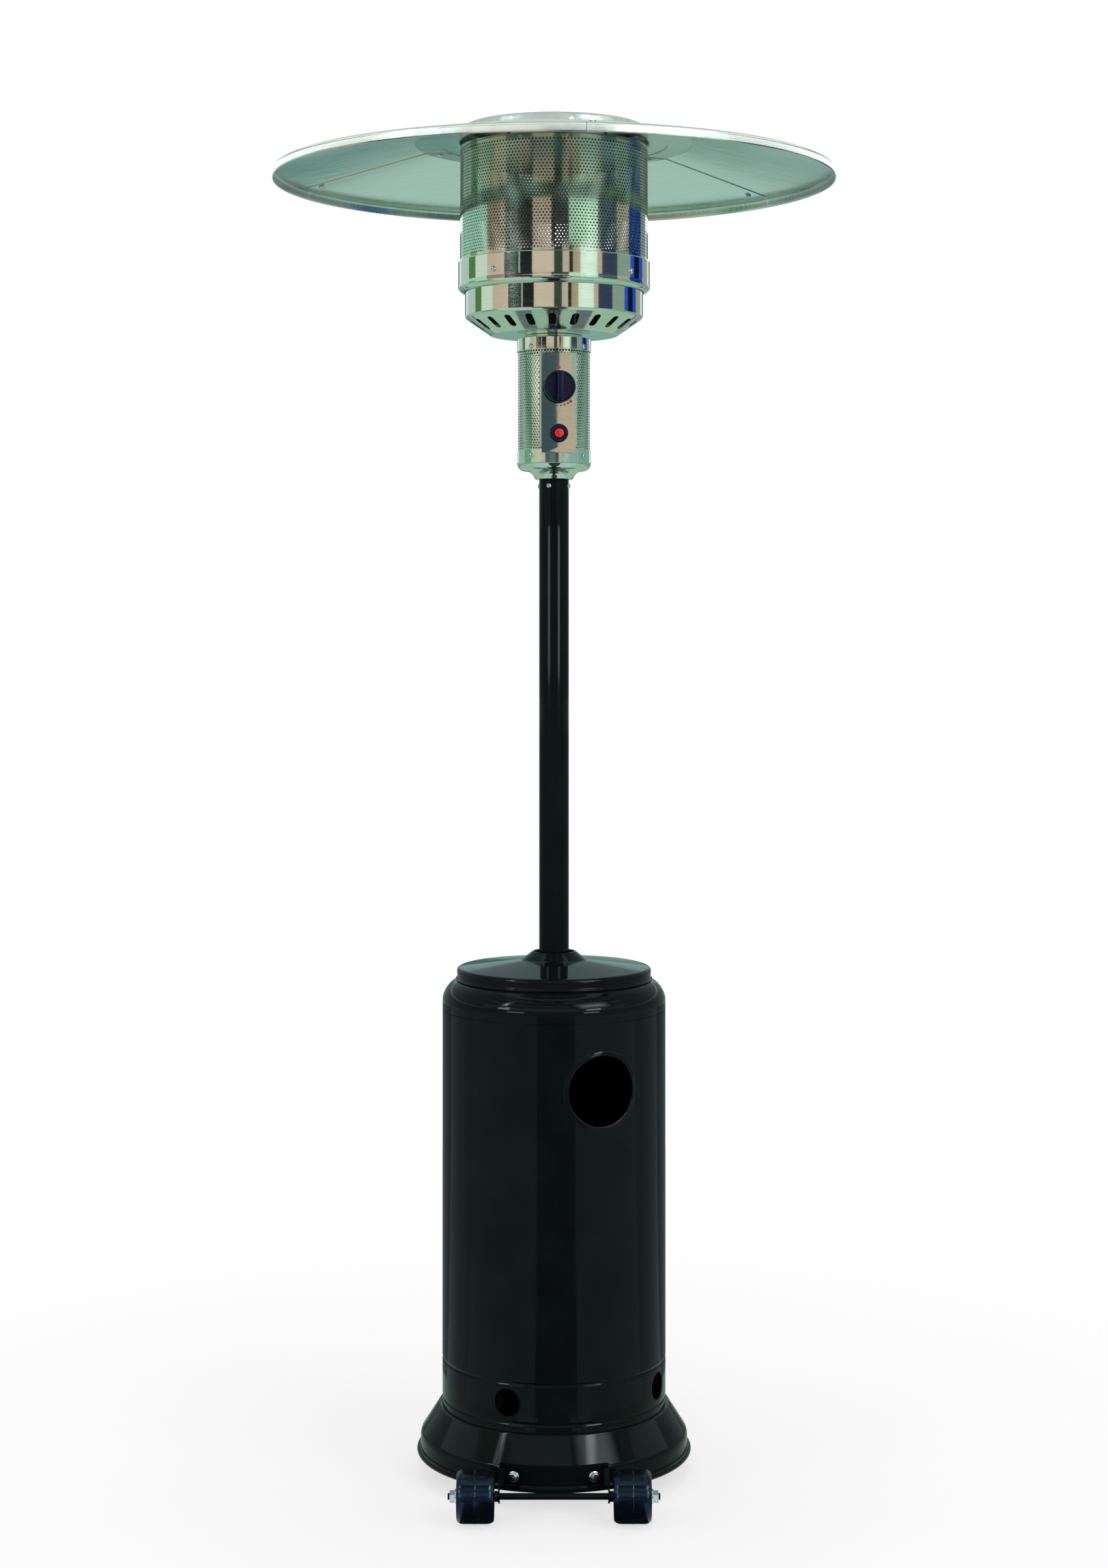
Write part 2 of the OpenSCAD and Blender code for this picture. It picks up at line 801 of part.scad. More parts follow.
// Pressed channel leg in the X and Z plane, out towards +X
module support_leg(i) {
    rotate([0, 0, leg_turn - 90 + (i - 1) * 360 / leg_count]) difference() {
        rotate([90, 0, 0]) {
            linear_extrude(leg_w, center = true) sheet_outline(leg_line, leg_t);
            for (s = [-1, 1]) {
                translate([0, 0, s * (leg_w - leg_t) / 2])
                    linear_extrude(leg_t, center = true) sheet_outline(leg_flange_line, leg_flange);
            }
        }
        translate([leg_foot_r, 0, deck_z]) through(hole_d(m6), 2 * leg_t);
        translate([leg_tab_r, 0, leg_bolt_z]) rotate([0, 90, 0]) through(hole_d(m6), 2 * leg_t);
    }
}

module support_leg_1() {
    color(black_paint) support_leg(1);
}

module support_leg_2() {
    color(black_paint) support_leg(2);
}

module support_leg_3() {
    color(black_paint) support_leg(3);
}

module leg_bolts() {
    foot_grip = leg_t + base_t;
    tab_grip = leg_tab_r - pole_in_r + 0.5;
    color(zinc) for (i = [0 : leg_count - 1]) {
        a = leg_turn + i * 360 / leg_count;
        rotate([0, 0, a]) translate([0, -leg_foot_r, deck_z + leg_t])
            bolt_and_nut(m6, foot_grip, 3);
        outwards(a, leg_bolt_z) translate([0, 0, leg_tab_r]) bolt_and_nut(m6, tab_grip, 1);
    }
}

module side_bolt_holes(r) {
    for (i = [0 : leg_count - 1]) {
        outwards(leg_turn + i * 360 / leg_count, leg_bolt_z)
            translate([0, 0, r]) through(hole_d(m6), 2 * socket_t);
    }
}

module pole_socket() {
    color(black_paint) difference() {
        translate([0, 0, socket_z]) cylinder(r = socket_r, h = socket_h);
        translate([0, 0, pole_z]) cylinder(r = socket_in_r, h = socket_h);
        translate([0, 0, socket_z]) through(pipe_d + 2 * slip_gap, 2 * socket_t);
        side_bolt_holes(socket_r);
    }
}

module pole() {
    color(black_paint) difference() {
        translate([0, 0, pole_z]) ring(pole_in_r, pole_r, pole_len);
        side_bolt_holes(pole_r);
        for (k = [0 : 3]) {
            outwards(pole_screw_turn + 90 * k, pole_screw_z)
                translate([0, 0, pole_r]) through(hole_d(m4), 3 * pole_t);
        }
    }
}

module pole_screws() {
    color(zinc) for (k = [0 : 3]) {
        outwards(pole_screw_turn + 90 * k, pole_screw_z)
            translate([0, 0, pole_r + head_lift]) pan_screw(m4, pole_t + control_t + screw_tail);
    }
}

module gas_supply_pipe() {
    color(aluminium) translate([0, 0, pipe_z])
        ring(pipe_d / 2 - pipe_wall, pipe_d / 2, valve_z - inlet_h / 2 - pipe_z);
}

// Hose tail with a hexagon and three barbs
module hose_tail() {
    barb_n = 3;
    barb_h = 6;
    bore = pipe_d / 2 - 2 * pipe_wall;
    color(brass) translate([0, 0, pipe_z - tail_h]) difference() {
        union() {
            for (i = [0 : barb_n - 1]) {
                translate([0, 0, i * barb_h])
                    cylinder(r1 = pipe_d / 2 - 0.2, r2 = pipe_d / 2 + 1, h = barb_h);
            }
            translate([0, 0, barb_n * barb_h])
                cylinder(r = pipe_d / 2 - 0.6, h = tail_h - barb_n * barb_h);
            translate([0, 0, tail_h - 14]) cylinder(d = 19 / cos(30), h = 14, $fn = 6);
        }
        translate([0, 0, -cut]) cylinder(r = bore, h = tail_h + 2 * cut);
    }
}

// Housing of the gas cylinder
module pressed_groove(z) {
    translate([drum_r + groove_r - groove_depth, z]) circle(r = groove_r);
}

module groove_back(z) {
    intersection() {
        translate([drum_r + groove_r - groove_depth, z]) circle(r = groove_r + drum_t);
        translate([0, z - 3 * groove_r]) square([drum_r - drum_t / 2, 6 * groove_r]);
    }
}

module access_cut(d) {
    outwards(access_turn, drum_z + access_z) translate([0, 0, drum_r]) through(d, drum_r / 2);
}

module housing_drum() {
    lip_out = 1.5;
    lip_in = 2.5;
    color(black_paint) difference() {
        union() {
            rotate_extrude() difference() {
                union() {
                    translate([drum_in_r, drum_z]) square([drum_t, drum_h]);
                    for (g = groove_z) groove_back(drum_z + g);
                }
                for (g = groove_z) pressed_groove(drum_z + g);
            }
            intersection() {
                translate([0, 0, drum_z + access_z - access_d])
                    ring(drum_in_r - lip_in, drum_r + lip_out, 2 * access_d);
                access_cut(access_d + 2 * access_lip_w);
            }
        }
        access_cut(access_d);
        for (k = [0 : 3]) {
            outwards(vent_turn + 90 * k, drum_z + vent_z)
                translate([0, 0, drum_r]) through(vent_d, drum_r / 4);
        }
    }
}

// Shoulder ring: a skirt inside the wall, the rounded shoulder and the lid's flat seat
shoulder_mid = [drum_r - shoulder_r, shoulder_z - sqrt(pow(shoulder_r, 2) - pow(seat_run, 2))];
shoulder_line = concat(
    [
        [drum_in_r - fit_gap, seam_z - joggle_h], [drum_in_r - fit_gap, seam_z + seam_gap],
        [drum_r, seam_z + seam_gap]
    ],
    arc(shoulder_mid, shoulder_r, 0, acos(seat_run / shoulder_r), 14),
    [[lid_r - shoulder_flange, shoulder_z]]
);

module housing_shoulder() {
    color(black_paint) spun_sheet(shoulder_line, drum_t);
}

lid_line = rounded(
    [
        [lid_r, lid_z], [lid_r, lid_top_z], [collar_foot_d / 2, collar_z],
        [collar_in_r + 3, collar_z + lid_collar_h], [collar_in_r, collar_z + lid_collar_h]
    ],
    [lid_edge_r, 3, 0]
);

module housing_lid() {
    color(black_paint) spun_sheet(lid_line, lid_t);
}

// Control housing
cup_line = rounded(
    [
        [cup_spigot_r, pole_top_z - spigot_l], [cup_spigot_r, pole_top_z],
        [neck_low_r, pole_top_z], [neck_low_r + 2, pole_top_z + neck_h / 2],
        [neck_high_r, cup_z], [control_r, cup_z], [control_r, cup_top_z]
    ],
    [0, 1.5, 5, 3, cup_round_r]
);

// Screws at the four corners of the head, on a wall of radius r
module head_screws(r, z, m, l) {
    head() for (a = screw_a) {
        outwards(a, z) translate([0, 0, r + head_lift]) pan_screw(m, l);
    }
}

module head_screw_holes(r, z, m) {
    head() for (a = screw_a) {
        outwards(a, z) translate([0, 0, r]) through(hole_d(m), 8 * control_t);
    }
}

cup_screw_z = cup_top_z - cup_screw_drop;
collar_screw_z = collar_foot_z + collar_screw_rise;

module control_cup() {
    color(steel) difference() {
        spun_sheet(cup_line, control_t);
        for (k = [0 : 3]) {
            outwards(pole_screw_turn + 90 * k, pole_screw_z)
                translate([0, 0, cup_spigot_r]) through(hole_d(m4), 3 * control_t);
        }
        head_screw_holes(control_r, cup_screw_z, m4);
    }
}

module cup_screws() {
    color(zinc) head_screws(control_r, cup_screw_z, m4, control_t + wrap_t + screw_tail);
}

// Perforated wrap with an opening behind the control panel
module control_wrap() {
    low = cup_top_z - wrap_tuck;
    high = collar_foot_z + wrap_tuck;
    step = 360 / wrap_hole_n;
    first_z = cup_top_z + (wrap_h - (wrap_row_n - 1) * wrap_row_gap) / 2;
    open_w = panel_w + 2 * fit_gap;
    open_z = panel_flange_z - 1;
    color(steel) difference() {
        translate([0, 0, low]) ring(wrap_in_r, wrap_r, high - low);
        head() for (row = [0 : wrap_row_n - 1], k = [0 : wrap_hole_n - 1]) {
            a = step * (k + (row % 2) / 2);
            if (a > wrap_open_a && a < 360 - wrap_open_a) {
                outwards(a, first_z + row * wrap_row_gap)
                    translate([0, 0, wrap_r]) through(wrap_hole_d, 2 * wrap_t, $fn = 24);
            }
        }
        head() translate([-open_w / 2, -control_r, open_z])
            cube([open_w, control_r - 20, panel_top_z - open_z]);
        head_screw_holes(wrap_r, cup_screw_z, m4);
        head_screw_holes(wrap_r, collar_screw_z, m4);
    }
}

// Outline of the control panel seen from above: a flat face with its edges turned back
panel_line = rounded(
    [
        [panel_w / 2, -panel_face + panel_flange], [panel_w / 2, -panel_face],
        [-panel_w / 2, -panel_face], [-panel_w / 2, -panel_face + panel_flange]
    ],
    [panel_t + 1, panel_t + 1]
);

module control_panel() {
    face_w = panel_w - 2 * panel_t - 2;
    color(steel) head() difference() {
        union() {
            translate([0, 0, panel_flange_z])
                linear_extrude(panel_top_z - panel_flange_z) sheet_outline(panel_line, -panel_t);
            translate([-face_w / 2, -panel_face, panel_z])
                cube([face_w, panel_t, panel_top_z - panel_z]);
        }
        outwards(0, knob_axis_z)
            translate([0, 0, panel_face]) through(bonnet_d + 2 * slip_gap, 2 * panel_t);
        outwards(0, igniter_axis_z)
            translate([0, 0, panel_face]) through(barrel_d + 2 * slip_gap, 2 * panel_t);
    }
}

module panel_nuts() {
    color(zinc) head() {
        outwards(0, knob_axis_z) translate([0, 0, panel_face])
            hex_nut(0.8 * bonnet_d, nut_thin, bonnet_d + 2 * run_gap);
        outwards(0, igniter_axis_z) translate([0, 0, panel_back - 4])
            hex_nut(0.8 * barrel_d, 4, barrel_d + 2 * run_gap);
    }
}

collar_line = rounded(
    [
        [control_r, collar_foot_z], [control_r, collar_top_z], [boss_r, collar_top_z],
        [boss_r, bowl_z], [venturi_r + slip_gap, bowl_z]
    ],
    [2, 0, 1.5]
);

// Holes for the pilot tube and leads, and for the bolts that join the collar and the bowl
module floor_holes(z) {
    head() {
        for (p = lead_holes) {
            translate([p[0], p[1], z]) through(lead_d + 1, 3);
        }
        for (a = screw_a) {
            rotate([0, 0, a]) translate([0, -bowl_bolt_r, z]) through(hole_d(m5), 3);
        }
    }
}

module control_collar() {
    color(steel) difference() {
        spun_sheet(collar_line, control_t);
        head_screw_holes(control_r, collar_screw_z, m4);
        floor_holes(bowl_z);
    }
}

module collar_screws() {
    color(zinc) head_screws(control_r, collar_screw_z, m4, control_t + wrap_t + screw_tail);
}

// Die-cast valve body with the inlet under it and the bonnet towards the panel
module gas_valve() {
    color(aluminium) head() difference() {
        union() {
            translate([-valve_w / 2, -valve_front, valve_z])
                cube([valve_w, valve_front + valve_back, valve_low + valve_high]);
            translate([0, 0, valve_z - inlet_h]) cylinder(d = inlet_d, h = inlet_h + cut);
            outwards(0, knob_axis_z)
                translate([0, 0, valve_front - cut])
                    cylinder(d = bonnet_d, h = bonnet_face - valve_front + cut);
        }
        outwards(0, knob_axis_z) translate([0, 0, valve_bore_end])
            cylinder(d = valve_bore_d, h = bonnet_face);
        translate([0, 0, valve_z - inlet_h - cut])
            cylinder(d = pipe_d + 2 * run_gap, h = inlet_h / 2 + cut);
    }
}

module push_sleeve() {
    color(brass) head() outwards(0, knob_axis_z) translate([0, 0, sleeve_back])
        ring(spindle_d / 2 + run_gap, sleeve_d / 2, sleeve_front - sleeve_back);
}

module valve_spindle() {
    flange_end = sleeve_back - slip_gap;
    color(steel) head() outwards(0, knob_axis_z) {
        translate([0, 0, flange_end - spindle_flange_h])
            cylinder(d = spindle_flange_d, h = spindle_flange_h);
        translate([0, 0, flange_end - cut]) cylinder(d = spindle_d, h = spindle_tip - flange_end + cut);
    }
}

// Knob with a rounded skirt and a raised grip bar, bored for the spindle
module control_knob() {
    r = knob_d / 2;
    bar_r = r - 3;
    color(black_plastic) head() outwards(0, knob_axis_z) difference() {
        union() {
            rotate_extrude() polygon(rounded(
                [[0, knob_back], [r, knob_back], [r - 1, knob_face], [0, knob_face]],
                [1, knob_edge]
            ));
            intersection() {
                translate([0, 0, knob_face - cut])
                    cylinder(r1 = bar_r, r2 = bar_r - 2, h = knob_bar_h + cut);
                translate([-knob_bar_w / 2, -r, knob_face - cut])
                    cube([knob_bar_w, 2 * r, knob_bar_h + cut]);
            }
        }
        translate([0, 0, knob_back - cut])
            cylinder(d = spindle_d + 2 * run_gap, h = spindle_tip - knob_back + cut + slip_gap);
    }
}

module igniter_body() {
    color(black_plastic) head() outwards(0, igniter_axis_z) difference() {
        translate([0, 0, barrel_back]) cylinder(d = barrel_d, h = panel_face - barrel_back);
        translate([0, 0, stem_bore_end]) cylinder(d = stem_d + 2 * bezel_gap, h = panel_face);
        translate([0, 0, button_room]) cylinder(d = button_d + 2 * bezel_gap, h = panel_face);
    }
}

module igniter_bezel() {
    r = bezel_d / 2;
    color(black_plastic) head() outwards(0, igniter_axis_z) difference() {
        rotate_extrude() polygon(rounded(
            [
                [0, panel_face], [r, panel_face], [r, panel_face + bezel_h / 2],
                [r - 4, panel_face + bezel_h], [0, panel_face + bezel_h]
            ],
            [0, 2, 2]
        ));
        translate([0, 0, panel_face]) through(button_d + 2 * bezel_gap, 2 * bezel_h);
    }
}

module igniter_button() {
    r = button_d / 2;
    color(red_plastic) head() outwards(0, igniter_axis_z) {
        rotate_extrude() polygon(rounded(
            [[0, button_back], [r, button_back], [r, button_face], [0, button_face + 0.6]],
            [0, 1.5]
        ));
        translate([0, 0, stem_back]) cylinder(d = stem_d, h = button_back - stem_back + cut);
    }
}

// Tilt switch: a can on a strip that hangs from the collar
module tilt_switch() {
    can_d = 22;
    can_h = 16;
    can_y = 34;
    strip_w = 14;
    strip_t = 1.5;
    strip_y = can_y - can_d / 2;
    hang_z = collar_top_z - control_t;
    can_z = hang_z - 40;
    color(aluminium) head() {
        translate([0, can_y, can_z]) cylinder(d = can_d, h = can_h);
        translate([-strip_w / 2, strip_y, can_z]) cube([strip_w, strip_t, hang_z - can_z]);
        translate([-strip_w / 2, strip_y, hang_z - strip_t])
            cube([strip_w, boss_r + 8 - strip_y, strip_t]);
    }
}

module gas_nozzle() {
    hex_h = nozzle_h / 2;
    color(brass) translate([0, 0, valve_top_z]) difference() {
        union() {
            cylinder(d = 14 / cos(30), h = hex_h, $fn = 6);
            translate([0, 0, hex_h - cut]) cylinder(d1 = 10, d2 = 6, h = nozzle_h - hex_h + cut);
        }
        translate([0, 0, hex_h]) cylinder(d = 1.8, h = nozzle_h);
    }
}

// Burner
module venturi_tube() {
    color(steel) {
        translate([0, 0, venturi_z]) ring(venturi_r - venturi_t, venturi_r, venturi_top_z - venturi_z);
        translate([0, 0, venturi_top_z - venturi_t])
            ring(venturi_r - venturi_t, venturi_flange_r, venturi_t);
        translate([0, 0, bowl_z + burner_t])
            ring(venturi_r - venturi_t, venturi_flange_r, venturi_t);
    }
}

module burner_head() {
    wall = 2;
    slot_h = burner_h - 3 * wall;
    color(steel) translate([0, 0, venturi_top_z]) difference() {
        cylinder(r = burner_r, h = burner_h);
        translate([0, 0, wall]) cylinder(r = burner_r - wall, h = burner_h - 2 * wall);
        translate([0, 0, -cut]) cylinder(r = venturi_r - venturi_t, h = wall + 2 * cut);
        for (k = [0 : burner_slot_n - 1]) {
            rotate([0, 0, k * 360 / burner_slot_n + 180 / burner_slot_n])
                translate([burner_r - 2 * wall, -burner_slot_w / 2, 1.5 * wall])
                    cube([3 * wall, burner_slot_w, slot_h]);
        }
    }
}

// Pilot burner on a strip from the burner head, which also holds the probe and the electrode
module pilot_burner() {
    strip_t = 1.5;
    strip_x = burner_r + slip_gap;
    hood_d = 9;
    color(steel) head() difference() {
        union() {
            translate([strip_x, -lead_y - 6, pilot_z])
                cube([pilot_x + 8 - strip_x, 2 * lead_y + 12, strip_t]);
            translate([strip_x, -lead_y - 6, venturi_top_z + 3])
                cube([strip_t, 2 * lead_y + 12, pilot_z - venturi_top_z - 3 + strip_t]);
            translate([pilot_x, -lead_y, pilot_z]) cylinder(d = hood_d, h = 18);
        }
        translate([pilot_x, -lead_y, pilot_z - cut]) cylinder(d = lead_d + 2 * slip_gap, h = 8);
        translate([pilot_x, -lead_y, pilot_z + 12]) cylinder(d = hood_d - 2, h = 18);
        for (y = [0, lead_y]) {
            translate([pilot_x, y, pilot_z]) through(lead_d + 2 * slip_gap, 3 * strip_t);
        }
    }
}

// Route from the housing, up through the floors and out to the pilot
function lead_route(x, y, z0, z1) = [
    [x, y, z0], [x, y, lead_bend_z], [pilot_x, y, pilot_z - 10], [pilot_x, y, z1]
];

module pilot_tube() {
    color(aluminium) head() bent_rod(lead_route(lead_in_x, -lead_y, valve_top_z, pilot_z + 6), lead_d);
}

module thermocouple() {
    color(brass) head() bent_rod(lead_route(lead_in_x, lead_y, valve_top_z, pilot_z + 24), lead_d);
}

module ignition_electrode() {
    start = [0, -barrel_back + slip_gap, igniter_axis_z];
    route = concat(
        [start, [0, -barrel_back + 6, igniter_axis_z]],
        lead_route(spark_in_x, 0, igniter_axis_z + 12, pilot_z + 20)
    );
    color(ceramic) head() bent_rod(route, lead_d - 1);
}

bowl_line = rounded(
    [
        [venturi_r + slip_gap, bowl_z], [bowl_floor_r, bowl_z], [bowl_r, cone_top_z],
        [bowl_r, band_z + bowl_tuck]
    ],
    [4, 5]
);

// Slot with round ends, lying in its own X and Y
module slot(w, l, reach) {
    translate([0, 0, -reach]) linear_extrude(2 * reach) {
        square([l - w, w], center = true);
        for (s = [-1, 1]) {
            translate([s * (l - w) / 2, 0]) circle(d = w, $fn = 32);
        }
    }
}

module burner_bowl() {
    color(steel) difference() {
        spun_sheet(bowl_line, burner_t);
        head() for (k = [0 : slot_n - 1]) {
            rotate([0, 0, k * 360 / slot_n]) translate([slot_r, 0, slot_z])
                rotate([0, -cone_a, 0]) slot(slot_w, slot_l, 4 * burner_t);
        }
        floor_holes(bowl_z);
    }
}

module bowl_bolts() {
    grip = control_t + burner_t;
    color(zinc) head() for (a = screw_a) {
        rotate([0, 0, a]) translate([0, -bowl_bolt_r, bowl_z + burner_t]) bolt_and_nut(m5, grip, 2);
    }
}

band_line = [[bowl_r + burner_t + fit_gap, bead_low_z], [band_r, band_z], [band_r, screen_z]];
band_in_r = band_r - burner_t;
shelf_z = band_z + shelf_h;
band_screw_z = screen_z - 0.7 * band_h;

module screen_band() {
    color(steel) difference() {
        union() {
            spun_sheet(rounded(band_line, [6]), burner_t);
            translate([0, 0, shelf_z]) ring(bowl_r + fit_gap, band_in_r + burner_t / 2, shelf_h);
        }
        head_screw_holes(band_r, band_screw_z, m5);
    }
}

module band_screws() {
    color(zinc) head_screws(band_r, band_screw_z, m5, band_r - screen_r + burner_t + screw_tail);
}

// Flame screen: a cylinder with staggered rows of round holes and a rolled top edge
module flame_screen() {
    foot_z = shelf_z + shelf_h;
    step = 360 / screen_hole_n;
    first_z = screen_z + screen_margin + screen_hole_d / 2;
    color(steel) difference() {
        union() {
            translate([0, 0, foot_z]) ring(screen_r - burner_t, screen_r, screen_top_z - foot_z);
            translate([0, 0, screen_top_z - 2]) ring(screen_r - burner_t, screen_r + 1, 2);
        }
        for (row = [0 : screen_row_n - 1], k = [0 : screen_hole_n - 1]) {
            outwards(step * (k + (row % 2) / 2), first_z + row * screen_row_gap)
                translate([0, 0, screen_r]) through(screen_hole_d, 2 * burner_t, $fn = 24);
        }
        head_screw_holes(screen_r, band_screw_z, m5);
    }
}

// Reflector
top_plate_line = rounded(
    [
        [top_plate_r, top_plate_z - top_plate_flange], [top_plate_r, top_plate_z], [0, top_plate_z]
    ],
    [3]
);

module at_studs() {
    for (k = [0 : 2]) {
        rotate([0, 0, seam_turn + panel_a / 2 + k * panel_a]) translate([0, -stud_r, 0]) children();
    }
}

module screen_top_plate() {
    color(steel) difference() {
        spun_sheet(top_plate_line, top_plate_t);
        at_studs() translate([0, 0, top_plate_z]) through(hole_d(stud_m), 3 * top_plate_t);
    }
}

module reflector_studs() {
    low_z = top_plate_z - top_plate_t - nut_h(stud_m) - screw_tail;
    color(zinc) at_studs() translate([0, 0, low_z]) cylinder(d = stud_m, h = stud_top_z - low_z);
}

module stud_nuts() {
    bore = stud_m + 2 * run_gap;
    color(zinc) at_studs() {
        translate([0, 0, top_plate_z]) hex_nut(stud_m, bore = bore);
        translate([0, 0, top_plate_z - top_plate_t - nut_h(stud_m)]) hex_nut(stud_m, bore = bore);
    }
}

inner_z = hub_z - reflector_t - lap_gap;
panel_line_up = rounded(
    [
        [reflector_r, lip_z], [reflector_r, rim_top_z], [step_r, hub_z],
        [step_r - step_run, inner_z], [panel_in_r, inner_z]
    ],
    [lip_bend_r, 0, 0]
);
// Line of the lap at a seam, shortened at both ends
function lap_line(trim) = [
    [lap_out_r - trim, hub_z - panel_slope * (lap_out_r - trim - step_r)],
    [step_r, hub_z], [step_r - step_run, inner_z], [panel_in_r + 3 + trim, inner_z]
];

// Part of a spun shape from one angle to another, measured from the front
module spun_part(a0, a1) {
    rotate([0, 0, a0 - 90]) rotate_extrude(angle = a1 - a0) children();
}

// Bolts through the laps at the seams, head down
module at_seam_bolts() {
    for (k = [0 : 2]) {
        rotate([0, 0, seam_turn + k * panel_a + lap_a / 2]) children();
    }
}

function seam_bolt_top(r) = r > step_r ? hub_z - panel_slope * (r - step_r) : hub_z;

// One panel: its own sheet, and a strip at its far edge that laps under the next panel
module reflector_panel(i) {
    a0 = seam_turn + (i - 1) * panel_a;
    a1 = a0 + panel_a;
    under = reflector_t + lap_gap;
    color(aluminium) difference() {
        union() {
            spun_part(a0 + seam_gap_a, a1 - seam_gap_a) sheet_outline(panel_line_up, reflector_t);
            spun_part(a1 - lap_a / 2, a1 - 4 * seam_gap_a)
                sheet_outline(beside(lap_line(2), reflector_t / 2), under);
            spun_part(a1 - lap_a / 3, a1 + lap_a)
                sheet_outline(beside(lap_line(0), under), reflector_t);
        }
        at_seam_bolts() for (r = seam_bolt_rs) {
            translate([0, -r, seam_bolt_top(r)]) through(hole_d(m5), 12);
        }
    }
}

module reflector_panel_1() {
    reflector_panel(1);
}

module reflector_panel_2() {
    reflector_panel(2);
}

module reflector_panel_3() {
    reflector_panel(3);
}

hub_line = rounded(
    [
        [hub_flange_r, hub_z], [crown_r + crown_run, hub_z], [crown_r, crown_z],
        [crown_flat_r, top_z], [0, top_z]
    ],
    [crown_bend_r, crown_bend_r, crown_top_r]
);

module reflector_hub() {
    color(aluminium) difference() {
        spun_sheet(hub_line, reflector_t);
        at_seam_bolts() translate([0, -seam_bolt_rs[0], hub_z]) through(hole_d(m5), 8);
    }
}

module seam_bolts() {
    stack = [3 * reflector_t + 2 * lap_gap, 2 * reflector_t + lap_gap];
    slack = 1.6;
    color(zinc) at_seam_bolts() for (i = [0, 1]) {
        r = seam_bolt_rs[i];
        tilt = i == 0 ? 0 : head_d(m5) * panel_slope / 2;
        top = seam_bolt_top(r) + tilt;
        translate([0, -r, top - stack[i] - 2 * tilt - slack]) rotate([180, 0, 0])
            bolt_and_nut(m5, stack[i] + 2 * tilt + slack, 2);
    }
}

base_flange();
base_plate();
rubber_feet();
foot_screws();
wheel_bracket();
bracket_bolts();
wheel_axle();
wheel_spacers();
axle_nuts();
left_wheel();
right_wheel();
support_leg_1();
support_leg_2();
support_leg_3();
leg_bolts();
pole_socket();
pole();
pole_screws();
gas_supply_pipe();
hose_tail();
housing_drum();
housing_shoulder();
housing_lid();
control_cup();
cup_screws();
control_wrap();
control_panel();
panel_nuts();
control_collar();
collar_screws();
gas_valve();
push_sleeve();
valve_spindle();
control_knob();
igniter_body();
igniter_bezel();
igniter_button();
tilt_switch();
gas_nozzle();
venturi_tube();
burner_head();
pilot_burner();
pilot_tube();
thermocouple();
ignition_electrode();
burner_bowl();
bowl_bolts();
screen_band();
band_screws();
flame_screen();
screen_top_plate();
reflector_studs();
stud_nuts();
reflector_panel_1();
reflector_panel_2();
reflector_panel_3();
reflector_hub();
seam_bolts();
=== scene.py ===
import math

import bmesh
import bpy
from mathutils import Matrix, Vector


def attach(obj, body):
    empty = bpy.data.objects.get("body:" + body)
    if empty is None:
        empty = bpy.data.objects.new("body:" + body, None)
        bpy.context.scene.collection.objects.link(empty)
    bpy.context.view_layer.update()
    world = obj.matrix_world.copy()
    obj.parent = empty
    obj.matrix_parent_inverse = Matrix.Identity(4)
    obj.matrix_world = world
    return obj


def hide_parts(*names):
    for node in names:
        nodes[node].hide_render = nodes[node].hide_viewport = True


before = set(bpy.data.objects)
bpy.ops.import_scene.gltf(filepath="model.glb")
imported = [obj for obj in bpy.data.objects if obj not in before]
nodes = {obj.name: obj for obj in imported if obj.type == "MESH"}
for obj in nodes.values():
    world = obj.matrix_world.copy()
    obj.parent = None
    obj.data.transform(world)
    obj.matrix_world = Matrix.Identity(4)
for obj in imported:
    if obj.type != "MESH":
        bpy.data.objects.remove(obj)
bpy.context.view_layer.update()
mm = 0.001  # profiles below are in millimetres
print("frame loaded:", len(nodes), "nodes")


# camera: level, at the photograph's distance and height, with a downward shift for its framing
camera = {"distance": 4.307, "height": 1.385, "lens": 60.9, "shift": -0.108}

cameraData = bpy.data.cameras.new("photoCamera")
cameraData.sensor_width = 36.0
cameraData.lens = camera["lens"]
cameraData.shift_y = camera["shift"]
cameraData.clip_end = 100.0
photoCamera = bpy.data.objects.new("photoCamera", cameraData)
photoCamera.location = (0.0, -camera["distance"], camera["height"])
photoCamera.rotation_euler = (math.radians(90), 0.0, 0.0)
bpy.context.collection.objects.link(photoCamera)
bpy.context.scene.camera = photoCamera
bpy.context.scene.view_settings.view_transform = "Standard"
print("camera placed")


# materials
def hexColour(text):  # sRGB hex to linear
    parts = [int(text[i:i + 2], 16) / 255 for i in (1, 3, 5)]
    return [p / 12.92 if p <= 0.04045 else ((p + 0.055) / 1.055) ** 2.4 for p in parts] + [1.0]


def addNode(tree, kind, settings=None, inputs=None, stops=None, feeds=None):  # a node given as an input means its first output
    node = tree.nodes.new("ShaderNode" + kind)
    for name, value in (settings or {}).items():
        setattr(node, name, value)
    for name, value in (inputs or {}).items():
        if isinstance(value, bpy.types.Node):
            value = value.outputs[0]
        if isinstance(value, bpy.types.NodeSocket):
            tree.links.new(value, node.inputs[name])
        else:
            node.inputs[name].default_value = value
    for i, (position, colour) in enumerate((stops or {}).items()):  # a ramp's ends, as hex colours or grey levels
        end = node.color_ramp.elements[i]
        end.position = position
        end.color = hexColour(colour) if isinstance(colour, str) else [colour] * 3 + [1.0]
    if feeds is not None:
        tree.links.new(node.outputs[0], feeds)
    return node


def startMaterial(name, colour, metallic, roughness):
    material = bpy.data.materials.new(name)
    material.use_nodes = True
    tree = material.node_tree
    shader = tree.nodes["Principled BSDF"]
    shader.inputs["Base Color"].default_value = hexColour(colour)
    shader.inputs["Metallic"].default_value = metallic
    shader.inputs["Roughness"].default_value = roughness
    place = addNode(tree, "TexCoord").outputs["Object"]
    return material, tree, shader, place


